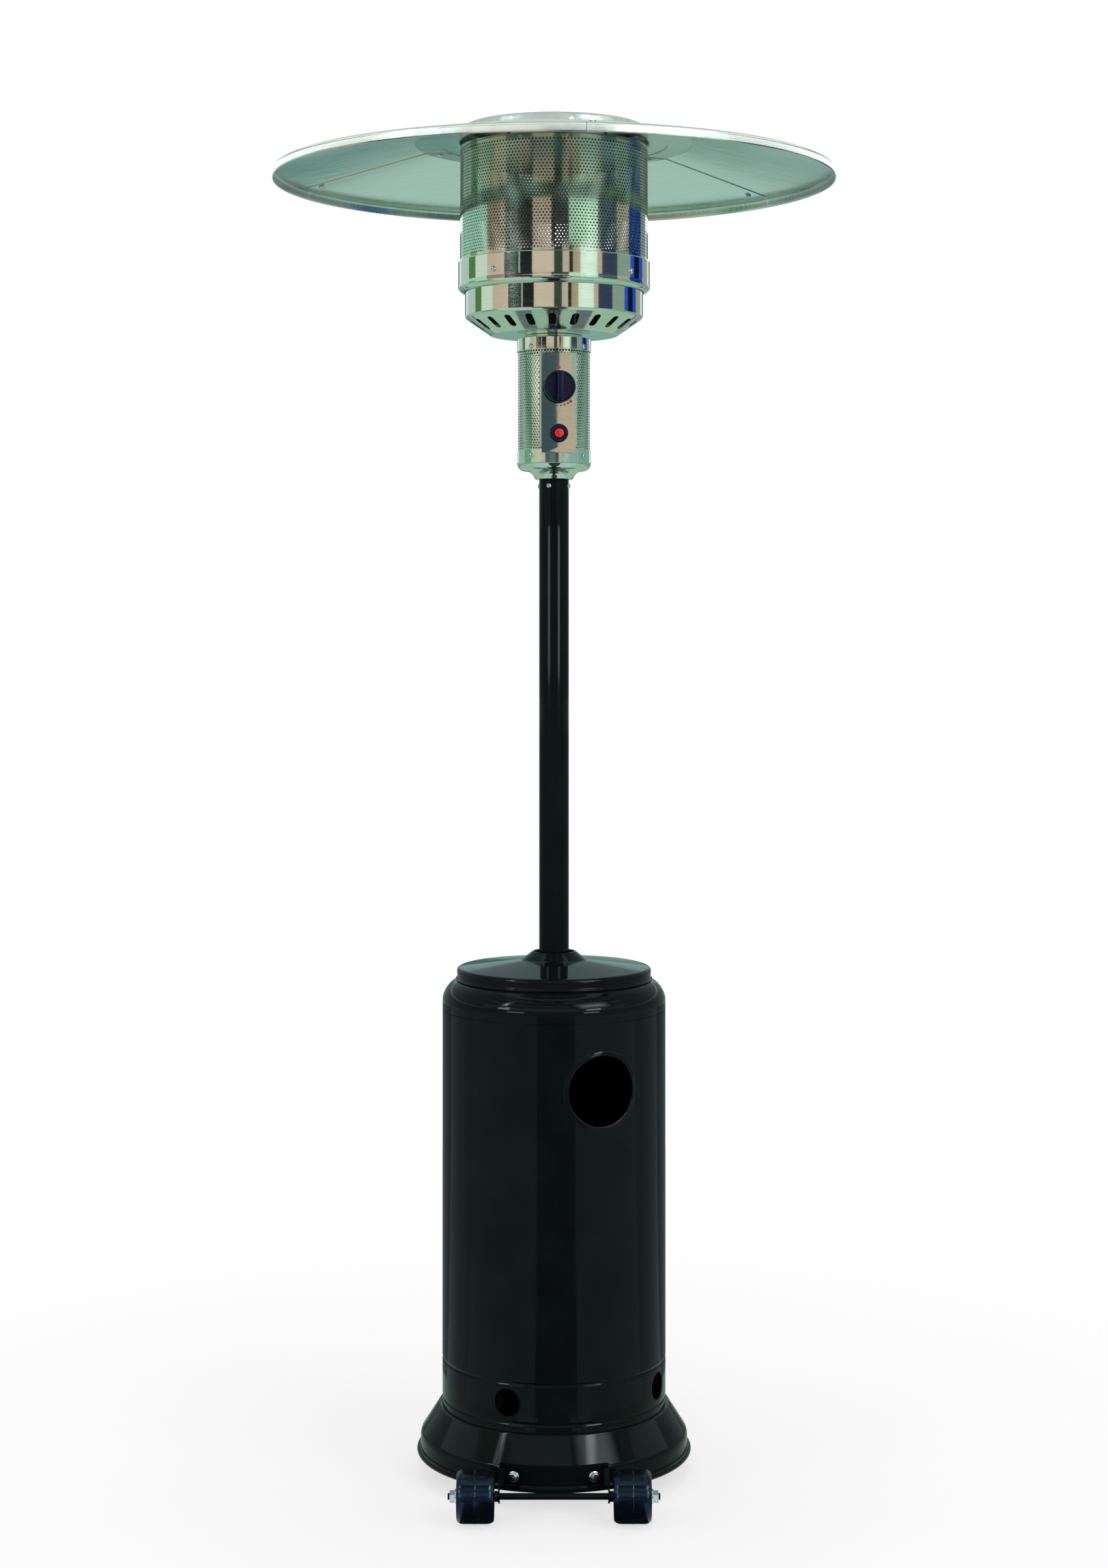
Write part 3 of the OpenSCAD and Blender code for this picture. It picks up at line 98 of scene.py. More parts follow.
# sprayed and baked enamel on steel: deep green-black gloss, with orange peel and a slightly wavy sheet
enamel, tree, shader, place = startMaterial("bakedBlackEnamel", "#0b0f10", 0.0, 0.07)
cloud = addNode(tree, "TexNoise", None, {"Vector": place, "Scale": 1 / (90 * mm), "Detail": 2.0})
addNode(tree, "ValToRGB", None, {"Fac": cloud}, {0.3: "#090d0e", 0.7: "#0e1314"}, shader.inputs["Base Color"])
addNode(tree, "ValToRGB", None, {"Fac": cloud}, {0.3: 0.05, 0.7: 0.09}, shader.inputs["Roughness"])
peel = addNode(tree, "TexNoise", None, {"Vector": place, "Scale": 1 / (5 * mm), "Detail": 1.0})
wave = addNode(tree, "TexNoise", None, {"Vector": place, "Scale": 1 / (120 * mm), "Detail": 0.0})
waveBump = addNode(tree, "Bump", None, {"Height": wave, "Strength": 0.08, "Distance": 0.6 * mm})
addNode(tree, "Bump", None, {"Height": peel, "Strength": 0.03, "Distance": 0.2 * mm, "Normal": waveBump}, feeds=shader.inputs["Normal"])
shader.inputs["Specular IOR Level"].default_value = 0.1

# pressed and mirror-polished stainless sheet: clear reflections, slightly broken by polishing lines
stainless, tree, shader, place = startMaterial("mirrorPolishedStainless", "#d9dcd5", 1.0, 0.09)
pulled = addNode(tree, "Mapping", None, {"Vector": place, "Scale": (1.0, 1.0, 12.0)})
lines = addNode(tree, "TexNoise", None, {"Vector": pulled, "Scale": 1 / (26 * mm), "Detail": 3.0})
addNode(tree, "ValToRGB", None, {"Fac": lines}, {0.3: 0.05, 0.75: 0.09}, shader.inputs["Roughness"])
addNode(tree, "ValToRGB", None, {"Fac": lines}, {0.3: "#d3dccf", 0.7: "#dbe3d7"}, shader.inputs["Base Color"])
dent = addNode(tree, "TexNoise", None, {"Vector": place, "Scale": 1 / (40 * mm), "Detail": 0.0})
addNode(tree, "Bump", None, {"Height": dent, "Strength": 0.04, "Distance": 0.5 * mm}, feeds=shader.inputs["Normal"])

# the same sheet left flat: its face buckles a little, so reflections run in waves
flatStainless = stainless.copy()
flatStainless.name = "polishedFlatStainless"
flatStainless.node_tree.nodes["Bump"].inputs["Strength"].default_value = 0.9

# punched stainless sheet: a little duller than the pressed pieces, with grey smears
punched, tree, shader, place = startMaterial("punchedStainless", "#c6cec2", 1.0, 0.1)
pulled = addNode(tree, "Mapping", None, {"Vector": place, "Scale": (1.0, 1.0, 0.3)})
smear = addNode(tree, "TexNoise", None, {"Vector": pulled, "Scale": 1 / (30 * mm), "Detail": 2.0})
addNode(tree, "ValToRGB", None, {"Fac": smear}, {0.3: "#bac4b6", 0.7: "#d0d9cc"}, shader.inputs["Base Color"])
addNode(tree, "ValToRGB", None, {"Fac": smear}, {0.3: 0.06, 0.7: 0.13}, shader.inputs["Roughness"])

# heat-stained steel inside the burner: brown and blue-grey, dull; on the inner side of the punched tubes it is partly
# painted shade
stainedAndShadedSteel, tree, shader, place = startMaterial("heatStainedAndShadedSteel", "#4b463f", 1.0, 0.45)
stain = addNode(tree, "TexNoise", None, {"Vector": place, "Scale": 1 / (25 * mm), "Detail": 4.0})
addNode(tree, "ValToRGB", None, {"Fac": stain}, {0.3: "#3a3733", 0.7: "#6a6660"}, shader.inputs["Base Color"])
addNode(tree, "ValToRGB", None, {"Fac": stain}, {0.3: 0.36, 0.7: 0.55}, shader.inputs["Roughness"])

# rolled mill-finish aluminium: soft pale reflections, with fine rolling lines across each sheet
aluminium, tree, shader, place = startMaterial("rolledAluminium", "#ccd6cf", 1.0, 0.22)
pulled = addNode(tree, "Mapping", None, {"Vector": place, "Scale": (1.0, 14.0, 1.0)})
rolled = addNode(tree, "TexNoise", None, {"Vector": pulled, "Scale": 1 / (60 * mm), "Detail": 4.0})
addNode(tree, "ValToRGB", None, {"Fac": rolled}, {0.3: "#c4cfc8", 0.7: "#d6ded8"}, shader.inputs["Base Color"])
addNode(tree, "ValToRGB", None, {"Fac": rolled}, {0.3: 0.17, 0.7: 0.27}, shader.inputs["Roughness"])
addNode(tree, "Bump", None, {"Height": rolled, "Strength": 0.04, "Distance": 0.3 * mm}, feeds=shader.inputs["Normal"])

# die-cast aluminium: grey, with the fine grain of the mould
dieCast, tree, shader, place = startMaterial("dieCastAluminium", "#8d9091", 1.0, 0.5)
grain = addNode(tree, "TexNoise", None, {"Vector": place, "Scale": 1 / (1.2 * mm), "Detail": 3.0})
addNode(tree, "ValToRGB", None, {"Fac": grain}, {0.3: "#7d8081", 0.7: "#9b9e9f"}, shader.inputs["Base Color"])
addNode(tree, "Bump", None, {"Height": grain, "Strength": 0.2, "Distance": 0.1 * mm}, feeds=shader.inputs["Normal"])

# bright zinc plate on steel fasteners: bluish white, spangled and slightly uneven
zinc, tree, shader, place = startMaterial("brightZincPlate", "#b9c1ca", 1.0, 0.28)
spangle = addNode(tree, "TexVoronoi", None, {"Vector": place, "Scale": 1 / (1.5 * mm)}).outputs["Color"]
addNode(tree, "ValToRGB", None, {"Fac": spangle}, {0.0: "#bcc6d2", 1.0: "#dfe7ee"}, shader.inputs["Base Color"])
addNode(tree, "ValToRGB", None, {"Fac": spangle}, {0.0: 0.14, 1.0: 0.26}, shader.inputs["Roughness"])

# turned brass: warm yellow with fine turning lines
brass, tree, shader, place = startMaterial("turnedBrass", "#c79f55", 1.0, 0.28)
pulled = addNode(tree, "Mapping", None, {"Vector": place, "Scale": (1.0, 1.0, 20.0)})
turned = addNode(tree, "TexNoise", None, {"Vector": pulled, "Scale": 1 / (8 * mm), "Detail": 2.0})
addNode(tree, "ValToRGB", None, {"Fac": turned}, {0.3: "#b58d47", 0.7: "#d3ad66"}, shader.inputs["Base Color"])

# moulded ABS with a spark-eroded texture: satin black with a blue cast
knobAbs, tree, shader, place = startMaterial("mouldedBlackAbs", "#090b14", 0.0, 0.3)
spark = addNode(tree, "TexNoise", None, {"Vector": place, "Scale": 1 / (0.7 * mm), "Detail": 2.0})
addNode(tree, "Bump", None, {"Height": spark, "Strength": 0.12, "Distance": 0.08 * mm}, feeds=shader.inputs["Normal"])
addNode(tree, "ValToRGB", None, {"Fac": spark}, {0.3: "#070b22", 0.7: "#0d1230"}, shader.inputs["Base Color"])
shader.inputs["Specular IOR Level"].default_value = 0.2

# moulded red ABS: clear glossy red
redAbs, tree, shader, place = startMaterial("mouldedRedAbs", "#d0141d", 0.0, 0.22)
tint = addNode(tree, "TexNoise", None, {"Vector": place, "Scale": 1 / (6 * mm), "Detail": 1.0})
addNode(tree, "ValToRGB", None, {"Fac": tint}, {0.3: "#c60f18", 0.7: "#d81c24"}, shader.inputs["Base Color"])

# injection-moulded polypropylene wheels: smooth blue-black, with a few dull scuffs, and a painted blue sheen in their
# reflections
wheelPlastic, tree, shader, place = startMaterial("mouldedPolypropylene", "#0a0f18", 0.0, 0.3)
pulled = addNode(tree, "Mapping", None, {"Vector": place, "Scale": (1.0, 3.0, 3.0)})
scuff = addNode(tree, "TexNoise", None, {"Vector": pulled, "Scale": 1 / (22 * mm), "Detail": 5.0, "Roughness": 0.6})
addNode(tree, "ValToRGB", None, {"Fac": scuff}, {0.58: "#070a12", 0.8: "#1a212b"}, shader.inputs["Base Color"])
addNode(tree, "ValToRGB", None, {"Fac": scuff}, {0.5: 0.18, 0.8: 0.45}, shader.inputs["Roughness"])
shader.inputs["Specular IOR Level"].default_value = 0.5
# the blue specular tint is a painted blue sheen: it colours every reflection in the wheels
shader.inputs["Specular Tint"].default_value = hexColour("#a9c8ff")

# moulded rubber: matt, very dark
rubber, tree, shader, place = startMaterial("mouldedRubber", "#15161a", 0.0, 0.75)
pores = addNode(tree, "TexNoise", None, {"Vector": place, "Scale": 1 / (1.5 * mm), "Detail": 3.0})
addNode(tree, "ValToRGB", None, {"Fac": pores}, {0.3: "#111215", 0.7: "#1d1e22"}, shader.inputs["Base Color"])

# glazed ceramic: white and shiny, with faint specks
ceramic, tree, shader, place = startMaterial("glazedCeramic", "#e8e6de", 0.0, 0.18)
speck = addNode(tree, "TexNoise", None, {"Vector": place, "Scale": 1 / (2 * mm), "Detail": 3.0})
addNode(tree, "ValToRGB", None, {"Fac": speck}, {0.3: "#dedbd1", 0.6: "#eeece5"}, shader.inputs["Base Color"])

# screen-printed inks on the panel: flat colour with a faint mottle
inks = []
for name, colour, low, high in (("printedRedInk", "#a80f16", "#9a0c13", "#b3141b"), ("printedDarkInk", "#3a1a17", "#2b1210", "#4a211d")):
    ink, tree, shader, place = startMaterial(name, colour, 0.0, 0.4)
    mottle = addNode(tree, "TexNoise", None, {"Vector": place, "Scale": 1 / (1 * mm), "Detail": 2.0})
    addNode(tree, "ValToRGB", None, {"Fac": mottle}, {0.3: low, 0.7: high}, shader.inputs["Base Color"])
    inks.append(ink)
redInk, darkInk = inks
print("materials made:", len(bpy.data.materials))

# carried-over nodes take the same finishes
nodeFinishes = {
    "base_plate": enamel, "wheel_bracket": enamel, "wheel_axle": enamel, "pole_socket": enamel,
    "support_leg_1": enamel, "support_leg_2": enamel, "support_leg_3": enamel,
    "rubber_feet": rubber, "foot_screws": zinc, "wheel_spacers": wheelPlastic, "axle_nuts": zinc, "leg_bolts": zinc,
    "panel_nuts": zinc, "bowl_bolts": zinc, "reflector_studs": zinc, "stud_nuts": zinc,
    "gas_supply_pipe": aluminium, "pilot_tube": aluminium, "tilt_switch": aluminium, "gas_valve": dieCast,
    "hose_tail": brass, "push_sleeve": brass, "gas_nozzle": brass, "thermocouple": brass,
    "valve_spindle": stainless, "venturi_tube": stainedAndShadedSteel, "burner_head": stainedAndShadedSteel, "pilot_burner": stainedAndShadedSteel,
    "screen_top_plate": stainedAndShadedSteel, "igniter_body": knobAbs, "ignition_electrode": ceramic,
}
for nodeName, finish in nodeFinishes.items():
    nodes[nodeName].data.materials.clear()
    nodes[nodeName].data.materials.append(finish)


# modelling helpers
sharpAngle = 35  # edges that turn by more stay crisp, in degrees


def roundOff(bm, geom, offset, segments, affect="EDGES"):
    return bmesh.ops.bevel(bm, geom=geom, offset=offset, offset_type="OFFSET", segments=segments, profile=0.5, affect=affect, material=-1)


def profileWire(bm, corners):  # corners are (radius, height) or (radius, height, rounding)
    verts = [bm.verts.new((c[0] * mm, 0.0, c[1] * mm)) for c in corners]
    for a, b in zip(verts, verts[1:]):
        bm.edges.new((a, b))
    for vert, corner in zip(verts, corners):
        if len(corner) > 2:
            roundOff(bm, [vert], corner[2] * mm, min(20, 5 + int(corner[2] * 0.7)), "VERTICES")
    margin = 0.4 * mm  # a point close to each end keeps straight walls straight in reflections
    for edge in [e for e in bm.edges if e.calc_length() > 4 * mm]:
        near, far = edge.verts
        added = bmesh.utils.edge_split(edge, near, margin / edge.calc_length())[1]
        rest = max(added.link_edges, key=lambda e: e.calc_length())
        bmesh.utils.edge_split(rest, far, margin / rest.calc_length())


def spinAll(bm, steps, angle=math.tau):  # turns everything about Z
    full = abs(angle - math.tau) < 1e-6
    bmesh.ops.spin(bm, geom=bm.verts[:] + bm.edges[:], cent=(0, 0, 0), axis=(0, 0, 1), dvec=(0, 0, 0),
                   angle=angle, steps=steps, use_merge=full, use_duplicate=False)
    bmesh.ops.remove_doubles(bm, verts=bm.verts, dist=1e-6)
    bmesh.ops.recalc_face_normals(bm, faces=bm.faces)


def thicken(bm, thickness):  # gives an open shell a wall behind its outer face
    bmesh.ops.solidify(bm, geom=bm.faces[:], thickness=thickness * mm)


def outwardPlace(azimuth, height, radius):  # local Z points out from the pole, azimuth from the front
    turn = Matrix.Rotation(math.radians(azimuth), 4, "Z") @ Matrix.Rotation(math.radians(90), 4, "X")
    return Matrix.Translation((0, 0, height * mm)) @ turn @ Matrix.Translation((0, 0, radius * mm))


def newVerts(made):  # the vertices among what an operator made
    return [g for g in made["geom"] if isinstance(g, bmesh.types.BMVert)]


def joinMesh(bm, other, place=Matrix.Identity(4)):  # adds a finished bmesh to another
    other.transform(place)
    mesh = bpy.data.meshes.new("part")
    other.to_mesh(mesh)
    other.free()
    bm.from_mesh(mesh)
    bpy.data.meshes.remove(mesh)


def finishPiece(bm, name, finish, body, stoodFor=(), sharp=sharpAngle):
    mesh = bpy.data.meshes.new(name)
    bm.to_mesh(mesh)
    bm.free()
    mesh.shade_smooth()
    mesh.set_sharp_from_angle(angle=math.radians(sharp))
    mesh.materials.append(finish)
    piece = bpy.data.objects.new(name, mesh)
    bpy.context.collection.objects.link(piece)
    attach(piece, body)
    if stoodFor:
        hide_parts(*stoodFor)
    return piece


def spunPiece(name, corners, steps, thickness, finish, body, stoodFor=()):
    bm = bmesh.new()
    profileWire(bm, corners)
    spinAll(bm, steps)
    if thickness:
        thicken(bm, thickness)
    return finishPiece(bm, name, finish, body, stoodFor)


def cutWith(piece, bm):  # takes the closed shapes in bm out of the piece
    mesh = bpy.data.meshes.new("cutter")
    bm.to_mesh(mesh)
    bm.free()
    cutter = bpy.data.objects.new("cutter", mesh)
    bpy.context.collection.objects.link(cutter)
    modifier = piece.modifiers.new("cut", "BOOLEAN")
    modifier.object, modifier.operation, modifier.solver = cutter, "DIFFERENCE", "EXACT"
    graph = bpy.context.evaluated_depsgraph_get()
    cutMesh = bpy.data.meshes.new_from_object(piece.evaluated_get(graph))
    piece.modifiers.clear()
    old = piece.data
    piece.data = cutMesh
    cutMesh.set_sharp_from_angle(angle=math.radians(sharpAngle))
    bpy.data.meshes.remove(old)
    bpy.data.objects.remove(cutter)
    bpy.data.meshes.remove(mesh)


def addRod(bm, place, radius, low, high, steps=24):  # closed cylinder along local Z
    other = bmesh.new()
    bmesh.ops.create_cone(other, cap_ends=True, segments=steps, radius1=radius * mm, radius2=radius * mm, depth=(high - low) * mm,
                          matrix=Matrix.Translation((0, 0, (low + high) / 2 * mm)))
    joinMesh(bm, other, place)


# base with its rolled rim
base = {"wall": 216, "rim": 36, "bead": 6, "wallTop": 64, "flange": 186, "seat": 110, "step": 178, "deck": 122, "hole": 30, "steel": 1.5}

spunPiece(
    "basePressing",
    [(base["wall"], base["rim"]), (base["wall"], base["wallTop"], 5), (base["flange"], base["seat"], 1.5),
     (base["step"], base["seat"], 1), (base["step"], base["deck"], 2), (base["hole"], base["deck"])],
    192, base["steel"], enamel, "stand", ["base_flange"])

rim = bmesh.new()
bmesh.ops.create_circle(rim, segments=20, radius=base["bead"] * mm,
                        matrix=Matrix.Translation((base["wall"] * mm, 0, base["rim"] * mm)) @ Matrix.Rotation(math.radians(90), 4, "X"))
spinAll(rim, 192)
finishPiece(rim, "baseRolledRim", enamel, "stand")
print("base done")


# drum, with pressed grooves, vents and the access hole
drum = {"radius": 181, "foot": 110.3, "seam": 746.3, "grooves": (123.3, 185.3), "sheet": 1.0,
        "ventRadius": 22, "ventHeight": 154.3, "ventTurn": -24, "accessRadius": 56, "accessHeight": 640.3, "accessTurn": 25, "lip": 7}

drumCorners = [(drum["radius"] + 0.4, drum["foot"]), (drum["radius"], drum["foot"] + 3)]
for grooveHeight in drum["grooves"]:
    drumCorners += [(drum["radius"], grooveHeight - 3.4, 0.8), (drum["radius"] - 1.6, grooveHeight, 1.6),
                    (drum["radius"], grooveHeight + 3.4, 0.8)]
drumCorners += [(drum["radius"], z) for z in (260, 420, 560, 720)] + [(drum["radius"], drum["seam"])]
drumWall = spunPiece("drumWall", drumCorners, 288, drum["sheet"], enamel, "housing", ["housing_drum"])

openings = bmesh.new()
addRod(openings, outwardPlace(drum["accessTurn"], drum["accessHeight"], drum["radius"]), drum["accessRadius"], -40, 40, 96)
for k in range(4):
    addRod(openings, outwardPlace(drum["ventTurn"] + 90 * k, drum["ventHeight"], drum["radius"]), drum["ventRadius"], -25, 25, 64)
cutWith(drumWall, openings)


# pressed lips round the holes: a ring with a rounded section, laid on the curve of the drum
def addHoleLip(bm, azimuth, height, radius, width, rise):
    ring = bmesh.new()
    profileWire(ring, [(radius + width, 0.02), (radius + width * 0.55, rise * 0.75, width * 0.25), (radius + 1.0, rise, 0.8),
                       (radius - 0.4, rise * 0.4), (radius - 0.4, -3.5)])
    spinAll(ring, 96)
    for vert in ring.verts:  # drops each point to the drum's surface
        vert.co.z += math.sqrt((drum["radius"] * mm) ** 2 - vert.co.x ** 2) - drum["radius"] * mm
    joinMesh(bm, ring, outwardPlace(azimuth, height, drum["radius"]))


lips = bmesh.new()
addHoleLip(lips, drum["accessTurn"], drum["accessHeight"], drum["accessRadius"], drum["lip"], 1.5)
for k in range(4):
    addHoleLip(lips, drum["ventTurn"] + 90 * k, drum["ventHeight"], drum["ventRadius"], 1.6, 0.35)
finishPiece(lips, "drumHoleLips", enamel, "housing")

# shoulder ring and lid
shoulder = {"skirt": 179.7, "foot": 735, "seam": 747.1, "crown": 783.5, "rounding": 23, "step": 159, "rest": 793.3, "inner": 141.5}
lid = {"hem": 159.6, "radius": 157.5, "edge": 813.2, "collar": 52, "collarFoot": 826, "lip": 839.2, "hole": 32.2}

spunPiece("drumShoulder", [(shoulder["skirt"], shoulder["foot"]), (shoulder["skirt"], shoulder["seam"]), (drum["radius"], shoulder["seam"]),
                           (drum["radius"], shoulder["crown"], shoulder["rounding"]), (shoulder["step"], shoulder["rest"]),
                           (shoulder["inner"], shoulder["rest"])],
          288, drum["sheet"], enamel, "housing", ["housing_shoulder"])
spunPiece("drumLid", [(158.4, 793.6), (lid["hem"], 794.6, 0.5), (lid["hem"], 796.4, 0.5), (lid["radius"], 798.4, 0.9),
                      (lid["radius"], lid["edge"], 5), (lid["collar"], lid["collarFoot"], 3), (37, 837.6, 1.5), (35.4, lid["lip"], 0.8),
                      (33, lid["lip"], 1), (lid["hole"], 835)],
          192, drum["sheet"], enamel, "housing", ["housing_lid"])
print("drum done")


# pole
pole = {"radius": 24.15, "bore": 22.65, "foot": 732.5, "top": 1604.5}

spunPiece("poleTube", [(pole["bore"], pole["foot"]), (pole["radius"], pole["foot"]), (pole["radius"], 1000), (pole["radius"], 1300),
                       (pole["radius"], pole["top"], 0.6), (pole["bore"], pole["top"]), (pole["bore"], pole["foot"])],
          96, 0, enamel, "stand", ["pole"])
print("pole done")


# screws with rounded, cross-slotted heads
def addPanHead(bm, place, radius, rise, shank):
    head = bmesh.new()
    profileWire(head, [(0, rise), (radius * 0.22, rise), (radius * 0.5, rise * 0.97), (radius * 0.92, rise * 0.55, radius * 0.25),
                       (radius, 0), (shank, 0), (shank, -4), (0, -4)])
    spinAll(head, 24)
    crown = [(f, f.calc_center_median()) for f in head.faces if f.normal.z > 0.8]
    slots = [f for f, spot in crown if radius * 0.2 * mm < spot.xy.length < radius * 0.5 * mm
             and abs(math.remainder(math.atan2(spot.y, spot.x) - math.radians(7.5), math.pi / 2)) < 0.01]
    middle = [f for f, spot in crown if spot.xy.length < radius * 0.2 * mm]
    sunk = bmesh.ops.extrude_face_region(head, geom=slots + middle)
    bmesh.ops.translate(head, verts=newVerts(sunk), vec=(0, 0, -rise * 0.45 * mm))
    bmesh.ops.delete(head, geom=slots + middle, context="FACES")
    joinMesh(bm, head, place)


def screwRing(name, azimuths, height, surface, radius, rise, stoodFor):
    bm = bmesh.new()
    for i, azimuth in enumerate(azimuths):
        slotTurn = Matrix.Rotation(0.5 + 0.9 * i, 4, "Z")  # no two slots line up
        addPanHead(bm, outwardPlace(azimuth, height, surface + 0.1) @ slotTurn, radius, rise, radius * 0.5)
    finishPiece(bm, name, zinc, "stand", stoodFor)


headTurn = 7  # the head faces a little to the right of the front, in degrees
screws = {"poleTurn": -19, "pole": 1593.5, "cup": 1640.5, "collar": 1816.5, "band": 1930.6, "housingRadius": 60, "bandRadius": 155.5}

quarters = [headTurn + a for a in (45, 135, 225, 315)]
screwRing("poleScrews", [screws["poleTurn"] + 90 * k for k in range(4)], screws["pole"], pole["radius"], 4.2, 3.4, ["pole_screws"])
screwRing("cupScrews", quarters, screws["cup"], screws["housingRadius"], 4.3, 2.6, ["cup_screws"])
screwRing("collarScrews", quarters, screws["collar"], screws["housingRadius"], 4.4, 2.6, ["collar_screws"])
screwRing("bandScrews", quarters, screws["band"], screws["bandRadius"], 5.0, 3.2, ["band_screws"])
print("screws done")


# control housing
cup = {"radius": 60, "edge": 59.2, "neck": 22.3, "neckFoot": 1575, "low": 1604.5, "floor": 1617.5, "rounding": 13, "top": 1651.5, "sheet": 1.2}
collar = {"low": 1810.5, "top": 1832.5, "step": 46, "seat": 1837.5, "hole": 16.2}

spunPiece("controlCup", [(cup["neck"], cup["neckFoot"]), (cup["neck"], cup["low"]), (31, cup["low"], 1), (33, 1611, 5), (41.5, cup["floor"], 3),
                         (cup["radius"], cup["floor"], cup["rounding"]), (cup["radius"], cup["top"], 0.4), (cup["edge"], cup["top"])],
          128, cup["sheet"], stainless, "stand", ["control_cup"])
spunPiece("controlCollar", [(cup["edge"], collar["low"]), (cup["radius"], collar["low"], 0.4), (cup["radius"], collar["top"], 1.5),
                            (collar["step"], collar["top"]), (collar["step"], collar["seat"], 1), (collar["hole"], collar["seat"])],
          128, cup["sheet"], stainless, "stand", ["control_collar"])


# punched sheet: a staggered grid with a hexagon taken out at each point, then rolled into a tube
def punchedTube(name, radius, low, high, across, hole, plainLow, plainHigh, finish, stoodFor, sheet, keepOut=None):
    around = math.tau * radius
    columns = round(around / across)
    across = around / columns
    rows = round((high - low) / (across * 0.866))
    bm = bmesh.new()
    bmesh.ops.create_grid(bm, x_segments=columns, y_segments=rows, size=0.5)
    step = (high - low) / rows
    for vert in bm.verts:  # grid to millimetres, odd rows half a pitch along
        row = round((vert.co.y + 0.5) * rows)
        vert.co = (vert.co.x * around + (row % 2) * across / 2, low + row * step, 0)
    bmesh.ops.triangulate(bm, faces=bm.faces[:], quad_method="SHORT_EDGE")
    points = [v for v in bm.verts if not v.is_boundary and low + plainLow < v.co.y < high - plainHigh]
    made = roundOff(bm, points, hole / 2, 1, "VERTICES")
    bmesh.ops.delete(bm, geom=[f for f in made["faces"] if len(f.verts) == 6], context="FACES")
    if keepOut:
        middle, half, bottom, top = keepOut
        covered = [f for f in bm.faces if abs(f.calc_center_median().x - middle) < half and bottom < f.calc_center_median().y < top]
        bmesh.ops.delete(bm, geom=covered, context="FACES")
    for vert in bm.verts:  # rolls the sheet, with its seam at the back
        angle = vert.co.x / radius
        vert.co = (radius * mm * math.sin(angle), -radius * mm * math.cos(angle), vert.co.y * mm)
    bmesh.ops.remove_doubles(bm, verts=bm.verts, dist=1e-6)
    bmesh.ops.recalc_face_normals(bm, faces=bm.faces)
    thicken(bm, sheet)
    for face in bm.faces:  # the inner side is dull and dark: partly heat staining, partly painted shade that keeps the holes dark
        face.material_index = int(face.calc_center_median().xy.length < (radius - sheet * 0.9) * mm)
    piece = finishPiece(bm, name, finish, "stand", stoodFor, 50)
    piece.data.materials.append(stainedAndShadedSteel)


# the real wrap has holes every 3.4 mm, drawn at 5 mm to stay light
wrap = {"radius": 58.5, "low": 1635.5, "high": 1826.5, "across": 5.0, "hole": 3.3}
punchedTube("controlWrap", wrap["radius"], wrap["low"], wrap["high"], wrap["across"], wrap["hole"], 12, 12, punched, ["control_wrap"], 0.8,
            keepOut=(wrap["radius"] * math.radians(headTurn), 31, 1652.5, 1804.5))

# control panel: a flat polished face with its long edges turned back
panel = {"half": 30, "face": 62.5, "back": 11, "low": 1653.5, "high": 1804.5, "tongue": 1644.5, "sheet": 1.5, "bend": 2.5}

plate = bmesh.new()
turnedBack = -panel["face"] + panel["back"]
plan = [(-panel["half"], turnedBack), (-panel["half"], -panel["face"]), (panel["half"], -panel["face"]), (panel["half"], turnedBack)]
planVerts = [plate.verts.new((x * mm, y * mm, panel["low"] * mm)) for x, y in plan]
for a, b in zip(planVerts, planVerts[1:]):
    plate.edges.new((a, b))
for vert in planVerts[1:3]:
    roundOff(plate, [vert], panel["bend"] * mm, 5, "VERTICES")
raised = bmesh.ops.extrude_edge_only(plate, edges=plate.edges[:])
bmesh.ops.translate(plate, verts=newVerts(raised), vec=(0, 0, (panel["high"] - panel["low"]) * mm))
front = [e for e in plate.edges if all(abs(v.co.z - panel["low"] * mm) < 1e-6 and abs(v.co.y + panel["face"] * mm) < 1e-6 for v in e.verts)]
tongue = bmesh.ops.extrude_edge_only(plate, edges=front)
bmesh.ops.translate(plate, verts=newVerts(tongue), vec=(0, 0, (panel["tongue"] - panel["low"]) * mm))
bmesh.ops.recalc_face_normals(plate, faces=plate.faces)
if sum(f.normal.y * f.calc_area() for f in plate.faces) > 0:
    bmesh.ops.reverse_faces(plate, faces=plate.faces[:])
thicken(plate, panel["sheet"])
plate.transform(Matrix.Rotation(math.radians(headTurn), 4, "Z"))
finishPiece(plate, "controlPanel", flatStainless, "stand", ["control_panel"], 30)

# printed marks: a red dot above the knob, and a growing arc of dots under it
marks = {"knobHeight": 1749.5, "dotReach": 31.5, "arcReach": 29.8}


def printedDots(name, dots, finish):  # dots are (angle clockwise from the top, reach, radius)
    bm = bmesh.new()
    for angle, reach, radius in dots:
        turn = math.radians(angle)
        spot = Matrix.Translation((reach * mm * math.sin(turn), reach * mm * math.cos(turn), 0))
        addRod(bm, outwardPlace(headTurn, marks["knobHeight"], panel["face"]) @ spot, radius, -0.2, 0.12)
    finishPiece(bm, name, finish, "stand")


printedDots("printedRedDots", [(0, marks["dotReach"], 3.0), (140, marks["arcReach"], 2.6)], redInk)
printedDots("printedArcDots", [(208 - 11.5 * k, marks["arcReach"], 0.9 + 0.16 * k) for k in range(6)], darkInk)
print("control housing done")


# knob with a grip bar, made about Z and then turned to face out of the panel
knob = {"back": 71.5, "face": 80.5, "tip": 93.5, "radius": 26, "bore": 4.1, "bar": 6.2, "barReach": 23.4, "crest": 83.5}

